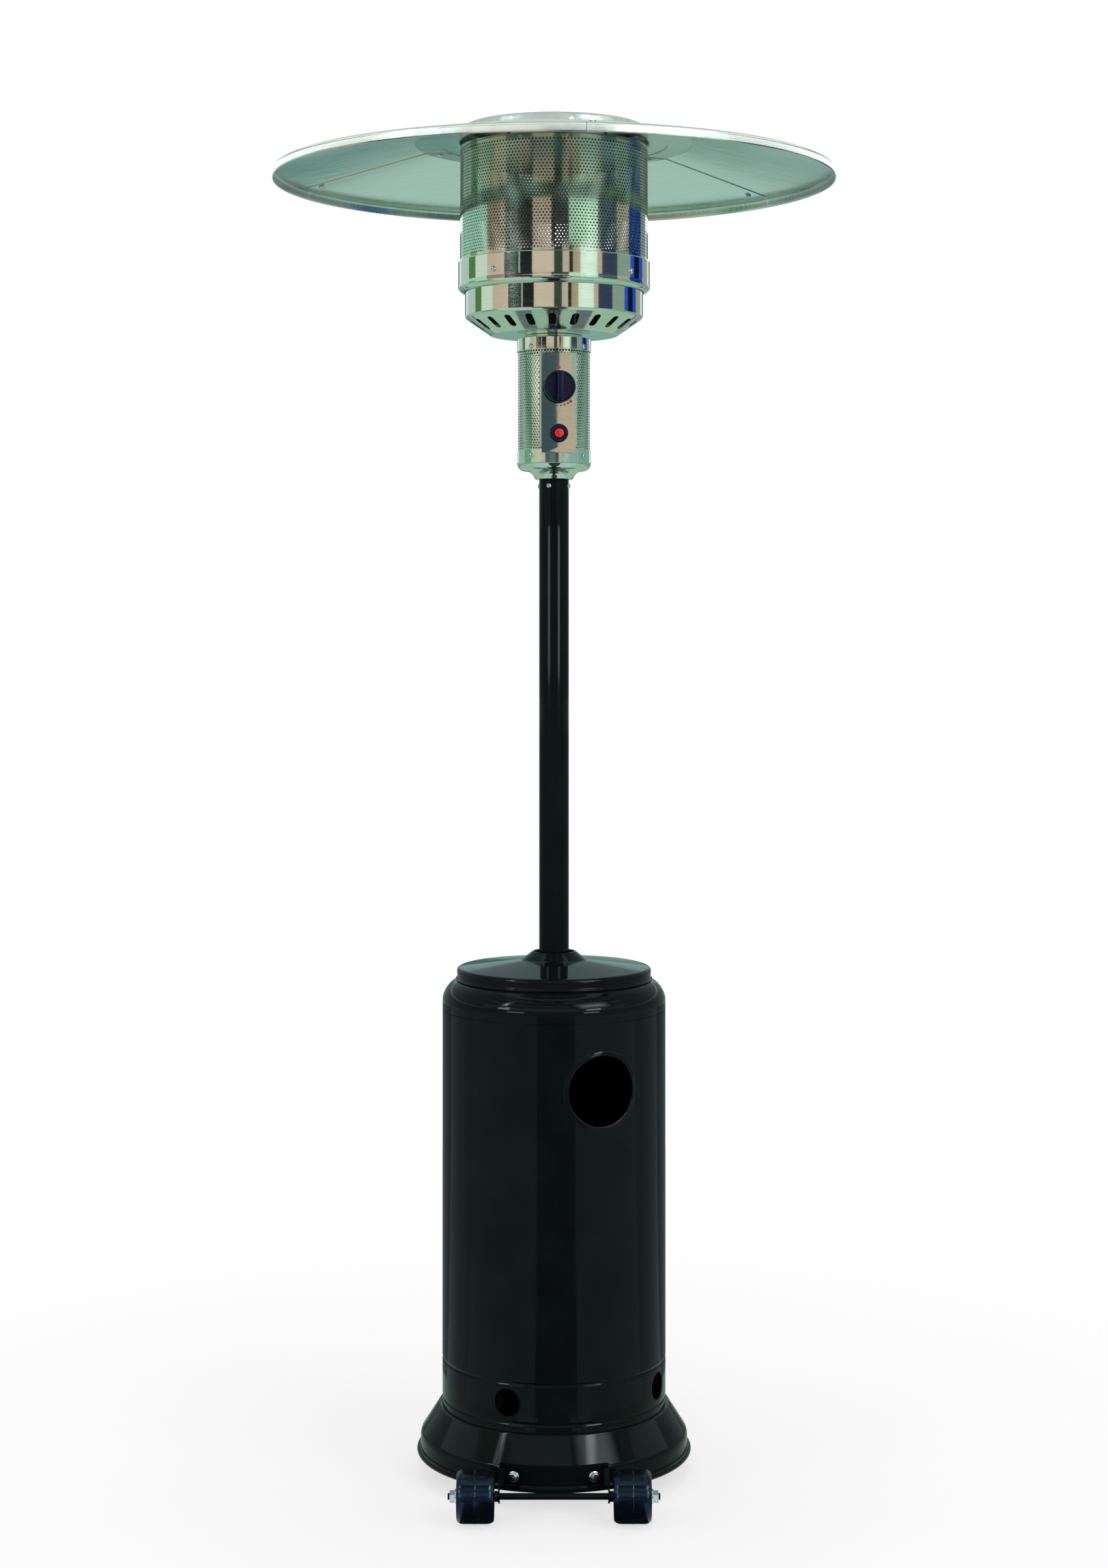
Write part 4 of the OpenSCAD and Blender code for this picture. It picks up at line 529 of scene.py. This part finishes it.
knobMesh = bmesh.new()
profileWire(knobMesh, [(knob["bore"], knob["tip"] - 5), (knob["bore"], knob["back"]), (knob["radius"] - 2, knob["back"]),
                       (knob["radius"], knob["back"] + 1, 0.6), (knob["radius"] - 0.8, knob["face"], 1.6), (knob["radius"] - 3.4, knob["face"], 0.6),
                       (knob["radius"] - 4.2, knob["face"] - 1.2, 0.5), (0, knob["face"] - 1.2)])
spinAll(knobMesh, 96)
bar = bmesh.new()
bmesh.ops.create_cube(bar, size=1.0)
bmesh.ops.scale(bar, vec=(2 * knob["bar"] * mm, 2 * knob["barReach"] * mm, (knob["tip"] - knob["face"] + 3) * mm), verts=bar.verts)
bmesh.ops.translate(bar, vec=(0, 0, (knob["tip"] + knob["face"] - 3) / 2 * mm), verts=bar.verts)
crest = [v for v in bar.verts if v.co.z > knob["crest"] * mm]
bmesh.ops.scale(bar, vec=(0.78, 0.94, 1.0), verts=crest)
roundOff(bar, [e for e in bar.edges if max(v.co.z for v in e.verts) > knob["crest"] * mm], 2.2 * mm, 4)
joinMesh(knobMesh, bar)
knobMesh.transform(outwardPlace(headTurn, marks["knobHeight"], 0))
finishPiece(knobMesh, "gasKnob", knobAbs, "knob", ["control_knob"], 40)

# igniter bezel and button
igniter = {"height": 1675.5, "panel": 62.5, "bezel": 15, "rise": 6, "bore": 7.4, "button": 7.3, "buttonBack": 64.5, "buttonFace": 73,
           "stem": 4, "stemBack": 44}

bezelMesh = bmesh.new()
bezelFoot, bezelEdge, bezelTop = [igniter["panel"] + h for h in (0.1, 4.6, igniter["rise"])]
profileWire(bezelMesh, [(igniter["bore"], bezelFoot), (igniter["bezel"], bezelFoot), (igniter["bezel"], bezelEdge, 1.2), (13.6, bezelTop, 0.8),
                        (8.6, bezelTop, 0.6), (igniter["bore"], bezelEdge), (igniter["bore"], bezelFoot)])
spinAll(bezelMesh, 72)
bezelMesh.transform(outwardPlace(headTurn, igniter["height"], 0))
finishPiece(bezelMesh, "igniterBezel", knobAbs, "stand", ["igniter_bezel"], 40)

buttonMesh = bmesh.new()
profileWire(buttonMesh, [(0, igniter["stemBack"]), (igniter["stem"], igniter["stemBack"]), (igniter["stem"], igniter["buttonBack"]),
                         (igniter["button"], igniter["buttonBack"]), (igniter["button"], igniter["buttonFace"] - 0.2, 1.2),
                         (0, igniter["buttonFace"] + 0.5)])
spinAll(buttonMesh, 48)
buttonMesh.transform(outwardPlace(headTurn, igniter["height"], 0))
finishPiece(buttonMesh, "igniterButton", redAbs, "igniter_button", ["igniter_button"], 40)
print("controls done")


# burner bowl with its ring of slots, and the band round the screen's foot
bowl = {"hole": 16.2, "floor": 103.5, "low": 1837.5, "wall": 144.5, "coneTop": 1865.5, "top": 1930.5,
        "slots": 22, "slotWidth": 12, "slotLength": 28, "sheet": 1.0}

burnerBowl = spunPiece("burnerBowl", [(bowl["hole"], bowl["low"]), (70, bowl["low"]), (bowl["floor"], bowl["low"], 2),
                                      (bowl["wall"], bowl["coneTop"], 3), (bowl["wall"], 1890), (bowl["wall"], bowl["top"])],
                       288, bowl["sheet"], stainless, "stand", ["burner_bowl"])
slotCuts = bmesh.new()
coneTilt = math.atan2(bowl["coneTop"] - bowl["low"], bowl["wall"] - bowl["floor"])
for k in range(bowl["slots"]):
    slot = bmesh.new()
    bmesh.ops.create_cube(slot, size=1.0)
    bmesh.ops.scale(slot, vec=(bowl["slotLength"] * mm, bowl["slotWidth"] * mm, 10 * mm), verts=slot.verts)
    upright = [e for e in slot.edges if abs(e.verts[0].co.z - e.verts[1].co.z) > 1 * mm]
    roundOff(slot, upright, bowl["slotWidth"] * 0.47 * mm, 6)
    middle = Matrix.Translation(((bowl["floor"] + bowl["wall"]) / 2 * mm, 0, (bowl["low"] + bowl["coneTop"]) / 2 * mm))
    turn = Matrix.Rotation(math.radians(headTurn) + k * math.tau / bowl["slots"], 4, "Z")
    joinMesh(slotCuts, slot, turn @ middle @ Matrix.Rotation(-coneTilt, 4, "Y"))
cutWith(burnerBowl, slotCuts)

band = {"radius": 155.5, "bead": 156.6, "beadHeight": 1912.6, "top": 1955.6, "sheet": 1.0}

spunPiece("screenBand", [(145.8, 1906.8), (150.5, 1907.4, 2.5), (band["bead"], band["beadHeight"], 3.2), (band["radius"], 1920.4, 2.4),
                         (band["radius"], band["top"], 0.5), (154.9, 1956.5)],
          288, band["sheet"], stainless, "stand", ["screen_band"])

# the real screen has holes every 4.7 mm, drawn at 5.6 mm to stay light
screen = {"radius": 152.5, "low": 1924, "high": 2141.5, "across": 5.6, "hole": 3.3}
punchedTube("flameScreen", screen["radius"], screen["low"], screen["high"], screen["across"], screen["hole"], 34, 6, punched, ["flame_screen"], 0.8)
print("burner done")


# reflector: three lapped panels, the raised hub and the seam bolts
reflector = {"rim": 456, "lip": 2086.5, "rimTop": 2101.5, "hubHeight": 2148.5, "step": 225.3, "stepFoot": 222.3,
             "inner": 185, "innerHeight": 2147.35, "seam": 6, "lap": 1.2, "sheet": 1.0}
slope = (reflector["hubHeight"] - reflector["rimTop"]) / (reflector["rim"] - reflector["step"])


def sheetHeight(reach):  # top of the sloping sheet
    return reflector["hubHeight"] - slope * (reach - reflector["step"])


def addSector(bm, corners, start, stop, steps, thickness):  # a sheet spun between two azimuths
    sector = bmesh.new()
    profileWire(sector, corners)
    sector.transform(Matrix.Rotation(math.radians(start - 90), 4, "Z"))
    spinAll(sector, steps, math.radians(stop - start))
    if sum(f.normal.z * f.calc_area() for f in sector.faces) < 0:
        bmesh.ops.reverse_faces(sector, faces=sector.faces[:])
    thicken(sector, thickness)
    joinMesh(bm, sector)


for i in range(3):
    sheet = bmesh.new()
    start = reflector["seam"] + 120 * i
    hem = [(453.4, reflector["lip"] + 3.2), (453.8, reflector["lip"] + 0.6, 0.5), (455.4, reflector["lip"] + 0.2, 0.5),
           (reflector["rim"], reflector["lip"] + 2)]
    addSector(sheet, hem + [(reflector["rim"], reflector["rimTop"], 5), (340, sheetHeight(340)), (reflector["step"], reflector["hubHeight"], 1.2),
                            (reflector["stepFoot"], reflector["innerHeight"], 1.2), (reflector["inner"], reflector["innerHeight"])],
              start + 0.06, start + 119.94, 72, reflector["sheet"])
    under = reflector["lap"]  # the strip that laps under the next panel
    addSector(sheet, [(442, sheetHeight(442) - under), (reflector["step"], reflector["hubHeight"] - under),
                      (reflector["stepFoot"], reflector["innerHeight"] - under), (188, reflector["innerHeight"] - under)],
              start + 118.5, start + 123.6, 6, reflector["sheet"])
    finishPiece(sheet, "reflectorPanel%d" % (i + 1), aluminium, "stand", ["reflector_panel_%d" % (i + 1)], 30)

hub = {"flange": 222, "foot": 154, "shoulder": 150, "shoulderHeight": 2173.5, "crown": 25, "top": 2197.4}
spunPiece("reflectorHub", [(hub["flange"], reflector["hubHeight"]), (hub["foot"], reflector["hubHeight"], 3),
                           (hub["shoulder"], hub["shoulderHeight"], 3), (hub["crown"], hub["top"], 12), (0, hub["top"])],
          192, reflector["sheet"], aluminium, "stand", ["reflector_hub"])

seamBolts = {"reaches": (203.5, 422), "turn": 1.8, "radius": 5.6, "shank": 2.5}
bolts = bmesh.new()
for i in range(3):
    for reach in seamBolts["reaches"]:
        top = reflector["hubHeight"] - max(0.0, slope * (reach - reflector["step"]))
        turn = Matrix.Rotation(math.radians(reflector["seam"] + 120 * i + seamBolts["turn"]), 4, "Z") @ Matrix.Translation((0, -reach * mm, 0))
        headPlace = turn @ Matrix.Translation((0, 0, (top - 4.2) * mm)) @ Matrix.Rotation(math.pi, 4, "X")
        addPanHead(bolts, headPlace, seamBolts["radius"], 2.8, seamBolts["shank"])
        place = turn @ Matrix.Translation((0, 0, top * mm))
        addRod(bolts, place, seamBolts["shank"], -5, 7.5, 16)
        addRod(bolts, place, 5.2, 0.6, 1.2)  # washer
        addRod(bolts, place, 4.7, 1.2, 5.2, 6)  # nut
finishPiece(bolts, "seamBolts", zinc, "stand", ["seam_bolts"], 30)
print("reflector done")


# wheels, with a hub, a recessed web and a mould line round the tread
wheel = {"inner": 91.3, "width": 57, "tread": 40, "bore": 5.05, "hub": 13, "axleY": -264, "axleZ": 41}


def addWheel(name, side):
    w, r = wheel["width"], wheel["tread"]
    half = [(wheel["bore"], 0), (wheel["hub"], 0, 1), (wheel["hub"] + 1, 5, 1), (r - 11, 5, 1),
            (r - 9, 0, 1.2), (r - 4, 0, 1.5), (r - 0.6, 5.5, 2.5), (r, 11, 2)]
    lowHalf = half + [(r, w / 2 - 1), (r + 0.35, w / 2)]  # ends on the raised mould line
    highHalf = [(c[0], w - c[1]) + tuple(c[2:]) for c in reversed(lowHalf[:-1])]
    bm = bmesh.new()
    profileWire(bm, lowHalf + highHalf + [(wheel["bore"], 0)])
    spinAll(bm, 96)
    turn = Matrix.Rotation(math.radians(90 * side), 4, "Y")
    bm.transform(Matrix.Translation((side * wheel["inner"] * mm, wheel["axleY"] * mm, wheel["axleZ"] * mm)) @ turn)
    bmesh.ops.recalc_face_normals(bm, faces=bm.faces)
    body = "right_wheel" if side > 0 else "left_wheel"
    finishPiece(bm, name, wheelPlastic, body, [body], 30)


addWheel("rightWheel", 1)
addWheel("leftWheel", -1)

# bolts of the wheel bracket: hexagon heads on a flange, standing off the bracket, with nuts inside the wall
bracketBolts = {"turn": 15.65, "height": 57.3, "flange": 230.65, "flangeRadius": 8.8, "hexRadius": 7.62, "shank": 4}

boltMesh = bmesh.new()
for side in (-1, 1):
    place = outwardPlace(side * bracketBolts["turn"], bracketBolts["height"], bracketBolts["flange"]) @ Matrix.Rotation(0.2 * side, 4, "Z")
    flange = bmesh.new()
    profileWire(flange, [(0, 0), (bracketBolts["flangeRadius"], 0), (bracketBolts["flangeRadius"], 1, 0.4), (7.2, 2, 0.4), (0, 2)])
    spinAll(flange, 32)
    joinMesh(boltMesh, flange, place)
    head = bmesh.new()
    addRod(head, Matrix.Identity(4), bracketBolts["hexRadius"], 2, 6.8, 6)
    roundOff(head, [e for e in head.edges if min(v.co.z for v in e.verts) > 6 * mm], 1.3 * mm, 3)  # the crowned end
    joinMesh(boltMesh, head, place)
    addRod(boltMesh, place, bracketBolts["shank"], -25.1, 1)
    addRod(boltMesh, place, bracketBolts["hexRadius"], -23.1, -16.8, 6)  # nut
finishPiece(boltMesh, "bracketBolts", zinc, "stand", ["bracket_bolts"], 30)
print("wheels done")


# studio: pale floor, white surround, soft lamps, and cards that only shiny surfaces see
def seenRays(tree):  # 1 for what the camera, shiny and clear surfaces see
    path = addNode(tree, "LightPath").outputs
    first = addNode(tree, "Math", {"operation": "MAXIMUM"}, {0: path["Is Camera Ray"], 1: path["Is Glossy Ray"]})
    return addNode(tree, "Math", {"operation": "MAXIMUM"}, {0: first, 1: path["Is Transmission Ray"]})


world = bpy.data.worlds.new("whiteSurround")
bpy.context.scene.world = world
world.use_nodes = True
tree = world.node_tree
background = tree.nodes["Background"].inputs
addNode(tree, "MapRange", None, {"Value": seenRays(tree), "To Min": 0.55, "To Max": 1.0}, feeds=background["Strength"])
glossy = addNode(tree, "LightPath").outputs["Is Glossy Ray"]
coolCast = {"Fac": glossy, "Color1": (1.0, 1.0, 1.0, 1.0), "Color2": (0.82, 0.97, 0.97, 1.0)}  # only in reflections
addNode(tree, "MixRGB", None, coolCast, feeds=background["Color"])

floorMesh = bmesh.new()
bmesh.ops.create_circle(floorMesh, cap_ends=True, segments=96, radius=40.0)
floorData = bpy.data.meshes.new("paleFloor")
floorMesh.to_mesh(floorData)
floorMesh.free()
floor = bpy.data.objects.new("paleFloor", floorData)
bpy.context.collection.objects.link(floor)
paleFloor, tree, shader, place = startMaterial("paleFloorPaint", "#f4f5f3", 0.0, 0.9)
shader.inputs["Specular IOR Level"].default_value = 0.0
near = addNode(tree, "VectorMath", {"operation": "LENGTH"}, {0: place}).outputs["Value"]
fade = addNode(tree, "MapRange", {"interpolation_type": "SMOOTHSTEP"},
               {"Value": near, "From Min": 0.3, "From Max": 2.0, "To Min": 0.68, "To Max": 1.0})
share = addNode(tree, "Math", {"operation": "MULTIPLY"}, {0: fade, 1: seenRays(tree)})
white = addNode(tree, "Emission", None, {"Color": (1.0, 1.0, 1.0, 1.0), "Strength": 1.0})
addNode(tree, "MixShader", None, {0: share, 1: shader, 2: white}, feeds=tree.nodes["Material Output"].inputs["Surface"])
floorData.materials.append(paleFloor)


def finishCard(bm, name, colour, strength):  # a card that only shiny surfaces see
    data = bpy.data.meshes.new(name)
    bm.to_mesh(data)
    bm.free()
    card = bpy.data.objects.new(name, data)
    bpy.context.collection.objects.link(card)
    material = bpy.data.materials.new(name)
    material.use_nodes = True
    cardTree = material.node_tree
    cardTree.nodes.remove(cardTree.nodes["Principled BSDF"])
    addNode(cardTree, "Emission", None, {"Color": hexColour(colour), "Strength": strength},
            feeds=cardTree.nodes["Material Output"].inputs["Surface"])
    data.materials.append(material)
    card.visible_camera = card.visible_diffuse = card.visible_shadow = card.visible_transmission = False
    return card


def addCard(name, start, stop, ends, colour, strength=1.0):  # swept about the pole, between two (radius, height) ends in metres
    bm = bmesh.new()
    edge = [bm.verts.new((0, -r, z)) for r, z in ends]
    bm.edges.new(edge)
    bm.transform(Matrix.Rotation(math.radians(start), 4, "Z"))
    spinAll(bm, max(2, int((stop - start) / 4)), math.radians(stop - start))
    finishCard(bm, name, colour, strength)


# upright cards on a ring close round the burner: the stripes in the polished steel
cardRings = {"stripes": 0.7, "streaks": 5.45, "upper": 5.5, "poles": 5.6, "back": 6.0}  # radii in metres
bandStripes = [(-138, -112, "#c5d6d2"), (-112, -98, "#5c8656"), (-98, -78, "#dfece0"), (-78, -55, "#d9c2b3"), (-55, -38, "#212b29"),
               (-38, -36.5, "#b9c4bc"), (-36.5, -23, "#1a2122"), (-23, 0, "#e2cbbc"), (0, 9, "#3c4a41"), (9, 16, "#d2bdb0"), (16, 20, "#23271f"),
               (20, 28, "#b9a48f"), (28, 47, "#e3f3e6"), (47, 53, "#cbb6a4"), (53, 73, "#3a4560"), (73, 94, "#93a99b"), (94, 101, "#2c55d0"),
               (101, 112, "#10182c"), (112, 121, "#2c55d0"), (121, 138, "#a9a89c")]
screenStripes = [(-138, -80, "#b5e6d4"), (-80, -55, "#a38f7f"), (-55, -23, "#27302f"), (-23, -3, "#cdb6a6"), (-3, 16, "#35403c"),
                 (16, 49, "#c2f0d4"), (49, 74, "#4c6068"), (74, 94, "#b7b3a4"), (94, 121, "#223f90"), (121, 138, "#93a7b0")]
columnStripes = [(-138, -100, "#a9c6c0"), (-100, -72, "#7fae90"), (-72, -40, "#cbd3bd"), (-40, -26, "#d0bfae"), (-26, -14, "#55656b"),
                 (-14, 4, "#6b7b80"), (4, 13.8, "#465761"), (13.8, 22, "#cfb9a9"), (22, 40, "#a5bdb2"), (40, 80, "#97bdb6"), (80, 138, "#8fb0a8")]
tiers = [("band", bandStripes, 1.876, 2.043), ("screen", screenStripes, 2.043, 2.138), ("column", columnStripes, 1.55, 1.876)]
for tierName, tierStripes, low, high in tiers:
    for i, (start, stop, colour) in enumerate(tierStripes):
        addCard("%sCard%02d" % (tierName, i), start, stop, ((cardRings["stripes"], low), (cardRings["stripes"], high)), colour)

# upright cards at pole height: grey, with two bright strips
poleCards = [(-165, -48, "#8fa09e", 1.0), (-48, -30, "#dbe6e6", 9.0), (-30, 30, "#6d7b7a", 1.0), (30, 46, "#dbe6e6", 11.0),
             (46, 165, "#8fa09e", 1.0)]
for i, (start, stop, colour, strength) in enumerate(poleCards):
    addCard("poleCard%02d" % i, start, stop, ((cardRings["poles"], 1.15), (cardRings["poles"], 1.9)), colour, strength)
    addCard("legCard%02d" % i, start, stop, ((cardRings["poles"], 0.0), (cardRings["poles"], 1.15)), "#8fa09e")

# upright cards behind, which the flatter faces mirror
backCards = [(158, 177, 0.0, 1.45, "#8fb2a8"), (177, 183, 0.0, 1.45, "#86a8a0"), (183, 202, 0.0, 1.45, "#5f8a84"),
             (158, 202, 1.45, 2.4, "#c0e1df"), (158, 202, 2.4, 5.2, "#6f8885")]
for i, (start, stop, low, high, colour) in enumerate(backCards):
    addCard("backCard%02d" % i, start, stop, ((cardRings["back"], low), (cardRings["back"], high)), colour)

# cards on the floor: what the drum, the burner's cone and the reflector mirror
floorCards = [(-180, -32, 0.24, 0.62, "#a3c0ae"), (32, 180, 0.24, 0.62, "#a3c0ae"), (-32, 32, 0.24, 0.62, "#e6f0f4"),
              (-90, -17, 0.62, 5.4, "#b4d6d0"), (-17, 21, 0.62, 5.4, "#343a3b"), (21, 90, 0.62, 5.4, "#b8d8d4"),
              (-130, -90, 0.62, 5.4, "#a0b4b8"), (90, 130, 0.62, 5.4, "#a0b4b8"), (-168, -130, 0.62, 5.4, "#6c797c"),
              (130, 168, 0.62, 5.4, "#6c797c"), (168, 192, 0.62, 2.6, "#6c797c"), (168, 192, 2.6, 5.9, "#c0e0d6")]
for i, (start, stop, inner, outer, colour) in enumerate(floorCards):
    addCard("floorCard%02d" % i, start, stop, ((inner, 0.002), (outer, 0.002)), colour)
shade = bmesh.new()  # the shade under the wheels and the axle
bmesh.ops.create_grid(shade, x_segments=1, y_segments=1, size=0.5)
bmesh.ops.scale(shade, vec=(0.292, 0.46, 1.0), verts=shade.verts)
bmesh.ops.translate(shade, vec=(0.0, -0.4, 0.003), verts=shade.verts)
finishCard(shade, "wheelShade", "#20282c", 1.0)
singleCards = [  # name, azimuths, two (radius, height) ends, colour, strength
    ("ceilingCard", -180, 180, ((0.0, 5.2), (4.5, 5.2)), "#59605f", 1.0),
    ("rimCard", -60, 60, ((cardRings["upper"], 2.98), (cardRings["upper"], 3.7)), "#ffffff", 1.6),
    ("rimRing", -180, 180, ((1.2, 2.17), (1.2, 2.36)), "#ffffff", 1.7),  # round the reflector's rim
    ("beadCard", -150, 150, ((cardRings["upper"], 3.7), (cardRings["upper"], 5.2)), "#9fb39f", 1.0),
    ("hubCard", -180, 180, ((0.0, 2.3), (0.5, 2.3)), "#dfe8e4", 0.9),  # over the reflector
    ("lipCard", -180, 180, ((0.62, 2.75), (1.35, 2.75)), "#ffffff", 1.2),
    ("coneFloat", 75, 285, ((0.35, 1.2), (1.6, 1.2)), "#a9c9b4", 1.0),  # its upper side, for the burner's cone
    ("lidFloat", 75, 285, ((0.35, 1.18), (1.6, 1.18)), "#9bb6b4", 1.0),  # its lower side, for the lid
    ("screenFloat", -70, 70, ((1.55, 1.15), (2.15, 1.15)), "#7fb597", 1.0),
    ("leftStreak", -60, -48, ((cardRings["streaks"], 2.5), (cardRings["streaks"], 3.6)), "#dbe6e6", 22.0),  # the two streaks under the pole
    ("rightStreak", 34, 50, ((cardRings["streaks"], 2.5), (cardRings["streaks"], 3.6)), "#dbe6e6", 22.0),
]
for card in singleCards:
    addCard(*card)


def addSoftbox(name, spot, target, width, tall, power):  # an area lamp aimed at a point
    lampData = bpy.data.lights.new(name, "AREA")
    lampData.shape = "RECTANGLE"
    lampData.size, lampData.size_y = width, tall
    lampData.energy = power
    lamp = bpy.data.objects.new(name, lampData)
    lamp.location = spot
    lamp.rotation_euler = (Vector(target) - Vector(spot)).to_track_quat("-Z", "Y").to_euler()
    bpy.context.collection.objects.link(lamp)
    lamp.visible_glossy = False  # the glowing cards are what shiny surfaces see


lamps = {"right": (2.45, -2.43, 3.44), "left": (-2.87, -1.87, 3.44), "aim": (0, -0.15, 0.43)}
addSoftbox("rightSoftbox", lamps["right"], lamps["aim"], 2.4, 1.3, 45)
addSoftbox("leftSoftbox", lamps["left"], lamps["aim"], 1.2, 1.3, 14)
addSoftbox("topSoftbox", (0.0, 0.6, 4.8), (0, 0, 1.0), 2.6, 2.6, 70)
addSoftbox("frontFill", (-0.6, -4.6, 3.6), (0, 0, 1.0), 2.0, 1.4, 40)


def addGlow(name, spot, target, width, tall, colour, strength):  # a card that fades out at its edges
    bm = bmesh.new()
    bmesh.ops.create_grid(bm, x_segments=1, y_segments=1, size=0.5)
    bmesh.ops.scale(bm, vec=(width, tall, 1.0), verts=bm.verts)
    card = finishCard(bm, name, colour, strength)
    card.matrix_world = Matrix.Translation(spot) @ (Vector(target) - Vector(spot)).to_track_quat("-Z", "Y").to_matrix().to_4x4()
    cardTree = card.data.materials[0].node_tree
    away = addNode(cardTree, "VectorMath", {"operation": "ABSOLUTE"}, {0: addNode(cardTree, "TexCoord").outputs["Object"]})
    split = addNode(cardTree, "SeparateXYZ", None, {"Vector": away})
    sides = [addNode(cardTree, "MapRange", {"interpolation_type": "SMOOTHSTEP"},
                     {"Value": split.outputs[axis], "From Min": 0.15 * size, "From Max": 0.5 * size, "To Min": 1.0, "To Max": 0.0})
             for axis, size in (("X", width), ("Y", tall))]
    both = addNode(cardTree, "Math", {"operation": "MULTIPLY"}, {0: sides[0], 1: sides[1]})
    addNode(cardTree, "Math", {"operation": "MULTIPLY"}, {0: both, 1: strength}, feeds=cardTree.nodes["Emission"].inputs["Strength"])


addGlow("rightGlow", lamps["right"], lamps["aim"], 3.2, 2.2, "#dcebec", 8.0)
addGlow("leftGlow", lamps["left"], lamps["aim"], 0.6, 2.2, "#dcebec", 8.0)
addGlow("leftSpark", (-2.82, -1.84, 3.39), lamps["aim"], 0.2, 0.8, "#f0f6f6", 60.0)
addGlow("rightSpark", (2.41, -2.39, 3.38), lamps["aim"], 2.6, 0.3, "#f0f6f6", 24.0)
print("studio done")
